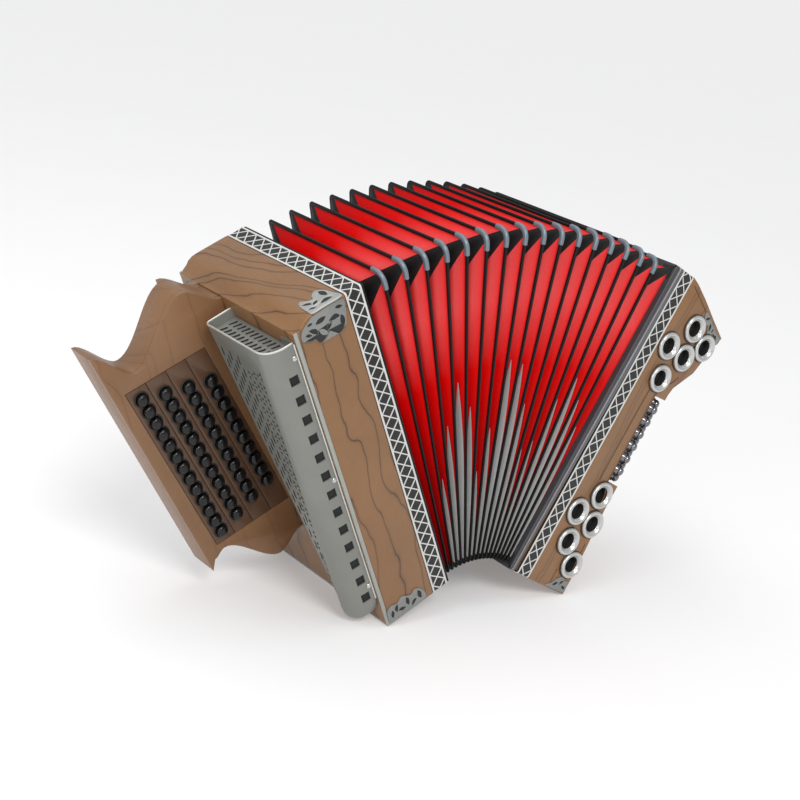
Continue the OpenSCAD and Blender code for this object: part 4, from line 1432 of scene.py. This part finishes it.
HORNS = [(74, H - 44), (49.5, H - 75), (81, H - 76.5), (104, H - 55), (63, H - 109), (72, 114), (50, 87),
    (82, 82), (60, 54), (84, 33)]
b = Build(BASS)
for u, z in HORNS:
    c = (u, F, z)
    b.lathe(c, (0, -1, 0), (1, 0, 0), [
        (8.9, -8.0), (15.9, -0.2), (16.3, 0.9), (16.0, 1.3), (14.9, 1.2), (8.9, 0.2)], 48, 1)
    prof = [(8.2, -7.8), (14.3, -0.1), (15.2, 0.6), (15.5, 1.8), (15.1, 3.2), (14.2, 4.0), (13.3, 4.3),
        (12.3, 4.0), (11.2, 2.9),
            (10.3, 1.9), (10.0, 1.3), (9.6, 1.7), (9.2, 1.5), (8.9, 0.6), (8.6, -1.0), (8.2, -7.8)]
    # the bore of the ring and the disc below are coloured near-black: painted shade inside the hole
    b.lathe(c, (0, -1, 0), (1, 0, 0), prof, 56, 0, [2] + [0] * 12 + [2, 2])
    b.lathe(c, (0, -1, 0), (1, 0, 0), [(0, -7.9), (8.3, -7.9), (8.3, -7.3), (0, -7.5)], 40, 2)
b.piece("horn_rings", ["horn", "horn_edge", "throat"], "bass_side", "bass_horns", 45)

u1b = reach("bass_casing", b_out, False) / MM - b_org.dot(b_out) / MM
cor_out = smooth_loop([
    (80, H - 21), (92, H - 26), (104, H - 31), (114, H - 35), (u1b - 2.2, H - 38), (u1b - 4.6, H - 45),
    (113, H - 43),
    (108, H - 37), (104, H - 38), (99, H - 42), (95, H - 38), (91, H - 33), (86, H - 34), (82, H - 30),
    (79, H - 26),
], 6)
cor_holes = [comma(86, H - 27.5, 7, 10), comma(96, H - 33, 9, -50, -1), comma(103, H - 34.5, 5, 60),
    comma(112, H - 38.5, 7, -20, -1)]
tri_out = smooth_loop([(62, 1.5), (70, 7), (75, 13), (82, 17.5), (88, 14), (93, 15), (95.5, 9), (95.5, 2),
    (86, 1.2), (74, 1.0)], 6)
tri_holes = [comma(76, 6, 8, 15), comma(84, 11, 7, 70, -1), comma(90, 6, 7, -30)]


def clear_of_horns(outline):
    out = []
    for x, z in outline:
        for u, hz in HORNS:
            d = math.hypot(x - u, z - hz)
            if d < 16.4:
                x, z = u + (x - u) * 16.4 / d, hz + (z - hz) * 16.4 / d
        out.append((x, z))
    return out


cor_out, tri_out = clear_of_horns(cor_out), clear_of_horns(tri_out)
filigree("bass_filigree", [
    (cor_out, cor_holes, face_front(BASS, 0, F - 0.5, 0), 1, 1.0),
    (tri_out, tri_holes, face_front(BASS, 0, F - 0.5, 0), 1, 1.0),
], "bass_side", "bass_corner_fittings")

# bass buttons: each one on its own body, with a collar on the casing
collar = Build(BASS)
FLAT_U, BEVEL_W, BZ, KEY_PITCH, KEY_ROWS = 90.0, 18.0, 184.0, 15.0, 11.6
Q = math.sqrt(0.5)


def bass_spot(q):
    """Centre of a bass key on the slanting edge: six in front, seven behind."""
    first = q < 6
    n_ = 6 if first else 7
    j = q if first else q - 6
    along = BEVEL_W / 2 + (-1 if first else 1) * KEY_ROWS / 2 * Q
    return (FLAT_U - BEVEL_W + along, F + along, BZ + (j - (n_ - 1) / 2) * KEY_PITCH)


def push(name, node, body, c, mat, r_, axis, side):
    b_ = Build(BASS)
    prof = [(0, -9.8), (3.1, -9.8), (3.4, -9.5), (3.4, 4.2), (r_ - 0.6, 4.35), (r_ - 0.1, 4.8), (r_, 5.8)]
    for a in range(0, 91, 10):
        t = math.radians(a)
        prof.append((r_ * math.cos(t) if a < 90 else 0.0, 6.4 + 3.9 * math.sin(t)))
    b_.lathe(c, axis, side, prof, 32)
    b_.piece(name, [mat], body, node, 50)
    collar.lathe(c, axis, side, [(r_ + 0.15, -0.4), (r_ + 0.15, 3.5), (r_ + 0.3, 3.9), (r_ + 0.45, 3.9),
        (r_ + 0.55, 3.5), (r_ + 0.55, -0.4), (r_ + 0.15, -0.4)], 28)


for q in range(13):
    push(f"bass_key_{q + 1:02d}", f"bass_button_{q + 1:02d}", f"bass_button_{q + 1:02d}", bass_spot(q),
        "bass_button", 5.2, (Q, -Q, 0), (0, 0, 1))
push("air_key", "air_button", "air_button", (FLAT_U, F + 54, 233), "chrome", 5.9, (1, 0, 0), (0, 1, 0))
collar.done("bass_button_cups", ["bass_button"], "bass_side", (), 45)

# ------------------------------------------------------------------ hand strap
ctrl = [(103.4, 69), (106.0, 80), (112.0, 106), (119.4, 140), (120.6, 188), (119.4, 235), (116.0, 256),
    (112.4, 277)]
mid = []
for q in range(len(ctrl) - 1):
    p0, p1, p2, p3 = (Vector(ctrl[min(max(q + d, 0), len(ctrl) - 1)]) for d in (-1, 0, 1, 2))
    for s in range(6):
        t = s / 6
        mid.append(catmull(p0, p1, p2, p3, t))
mid.append(Vector(ctrl[-1]))
SY0, SY1 = 20.0, 80.0
b = Build(BASS)
rows = []
for q, p in enumerate(mid):
    d = (mid[min(q + 1, len(mid) - 1)] - mid[max(q - 1, 0)]).normalized()
    nrm = Vector((d.y, -d.x))
    row = []
    for y, h in ((SY0, 0.0), (SY0 + 0.4, 1.0), (SY0 + 1.6, 1.45), (SY0 + 5, 1.35), (SY0 + 7, 1.5),
            (50, 1.75), (SY1 - 7, 1.5), (SY1 - 5, 1.35),
                 (SY1 - 1.6, 1.45), (SY1 - 0.4, 1.0), (SY1, 0.0), (SY1 - 0.4, -1.0), (SY1 - 2, -1.4),
                 (50, -1.4), (SY0 + 2, -1.4), (SY0 + 0.4, -1.0)):
        row.append((p.x + nrm.x * h, y, p.y + nrm.y * h))
    rows.append(row)
vs = b.grid(rows, lambda i_, j: 1 if j in (11, 12, 13, 14) else 0, loop_v=True)
b.face(vs[0])
b.face(vs[-1][::-1])
for side_y in (SY0 + 3.3, SY1 - 3.3):
    acc = 0.0
    for p, p2 in zip(mid, mid[1:]):
        seg = (p2 - p).length
        d = (p2 - p).normalized()
        nrm = Vector((d.y, -d.x))
        s = (5.0 - acc) % 5.0
        while s < seg:
            a, c = p + d * s, p + d * (s + 3.0)
            if c.y < ctrl[-1][1] - 1:
                pts = [(a.x + nrm.x * 1.3, side_y, a.y + nrm.y * 1.3),
                    ((a.x + c.x) / 2 + nrm.x * 1.75, side_y, (a.y + c.y) / 2 + nrm.y * 1.75),
                       (c.x + nrm.x * 1.3, side_y, c.y + nrm.y * 1.3)]
                tube(b, pts, 0.4, 2, 6, (0, 1, 0))
            s += 5.0
        acc = (acc + seg) % 5.0
b.piece("hand_strap_leather", ["leather", "lining", "thread"], "bass_side", "hand_strap", 45)
from_node("hand_strap_anchors", ["chrome"], 0.7, 3, name="strap_anchors")

# carried-over nodes keep their shape and take detailed finishes
for node, mat in (("treble_reed_blocks", "spruce"), ("bass_reed_block", "spruce"),
        ("treble_reed_plates", "reed"), ("bass_reed_plates", "reed"),
                  ("treble_pallets", "felt"), ("treble_levers", "lever")):
    for s in nodes[node].material_slots:
        s.material = M[mat]

# -------------------------------------------------------- floor, light, camera
floor_m = plain("pale floor", (0.74, 0.74, 0.745), 0.95, 0.01, 0.02, 60, spec=0.1)
glow = floor_m.node_tree.nodes["Principled BSDF"]
glow.inputs["Emission Color"].default_value = (1.0, 1.0, 1.0, 1)
glow.inputs["Emission Strength"].default_value = 0.20
bm = bmesh.new()
profile = [(-8.0 + 4.0 * q, 0.0) for q in range(21)]
fwd = Vector((0.65, 0.76, 0)).normalized()
sidev = Vector((fwd.y, -fwd.x, 0))
prev = None
for d, h in profile:
    row = [bm.verts.new(fwd * d + sidev * w + Vector((0, 0, h - 0.0004))) for w in (-45, 45)]
    if prev:
        bm.faces.new([prev[0], prev[1], row[1], row[0]])
    prev = row
bmesh.ops.recalc_face_normals(bm, faces=bm.faces)
me = bpy.data.meshes.new("floor")
bm.to_mesh(me)
bm.free()
floor = bpy.data.objects.new("floor", me)
bpy.context.scene.collection.objects.link(floor)
me.materials.append(floor_m)
me.polygons.foreach_set("use_smooth", [True] * len(me.polygons))

world = bpy.data.worlds.new("studio")
bpy.context.scene.world = world
world.use_nodes = True
world.node_tree.nodes["Background"].inputs[0].default_value = (0.93, 0.94, 0.96, 1)
world.node_tree.nodes["Background"].inputs[1].default_value = 0.62


def lamp(name, kind, loc, aim, energy, size, color=(1, 1, 1)):
    li = bpy.data.lights.new(name, kind)
    li.energy = energy
    li.color = color
    if kind == "AREA":
        li.shape = "RECTANGLE"
        li.size, li.size_y = size, size * 0.7
    else:
        li.angle = size
    o = bpy.data.objects.new(name, li)
    bpy.context.scene.collection.objects.link(o)
    o.location = loc
    o.rotation_euler = (Vector(aim) - Vector(loc)).to_track_quat("-Z", "Y").to_euler()
    return o


lamp("key", "SUN", (-1.4, -3.2, 3.2), (0, 0, 0.2), 1.5, 0.35, (1.0, 0.985, 0.96))
lamp("top_soft", "AREA", (-0.3, 0.2, 1.9), (0, 0, 0.2), 9, 1.6)
lamp("left_soft", "AREA", (-2.0, -0.9, 0.9), (-0.1, 0, 0.2), 14, 1.3)

yaw, pitch, roll = math.radians(-40.74), math.radians(-17.4), math.radians(-9.96)
turn = Matrix.Rotation(yaw, 3, "Z") @ Matrix.Rotation(pitch, 3, "X") @ Matrix.Rotation(roll, 3, "Y")
right, fwd_c, up_c = turn.col[0], turn.col[1], turn.col[2]
cam_d = bpy.data.cameras.new("camera")
cam_d.lens = 75.6
cam_d.sensor_width = 36
cam_d.clip_end = 120
cam = bpy.data.objects.new("camera", cam_d)
bpy.context.scene.collection.objects.link(cam)
loc = Vector((-1.0714, -1.2436, 0.7136))
cam.matrix_world = Matrix((
    (right.x, up_c.x, -fwd_c.x, loc.x),
    (right.y, up_c.y, -fwd_c.y, loc.y),
    (right.z, up_c.z, -fwd_c.z, loc.z),
    (0, 0, 0, 1),
))
bpy.context.scene.camera = cam
bpy.context.scene.view_settings.view_transform = "Standard"
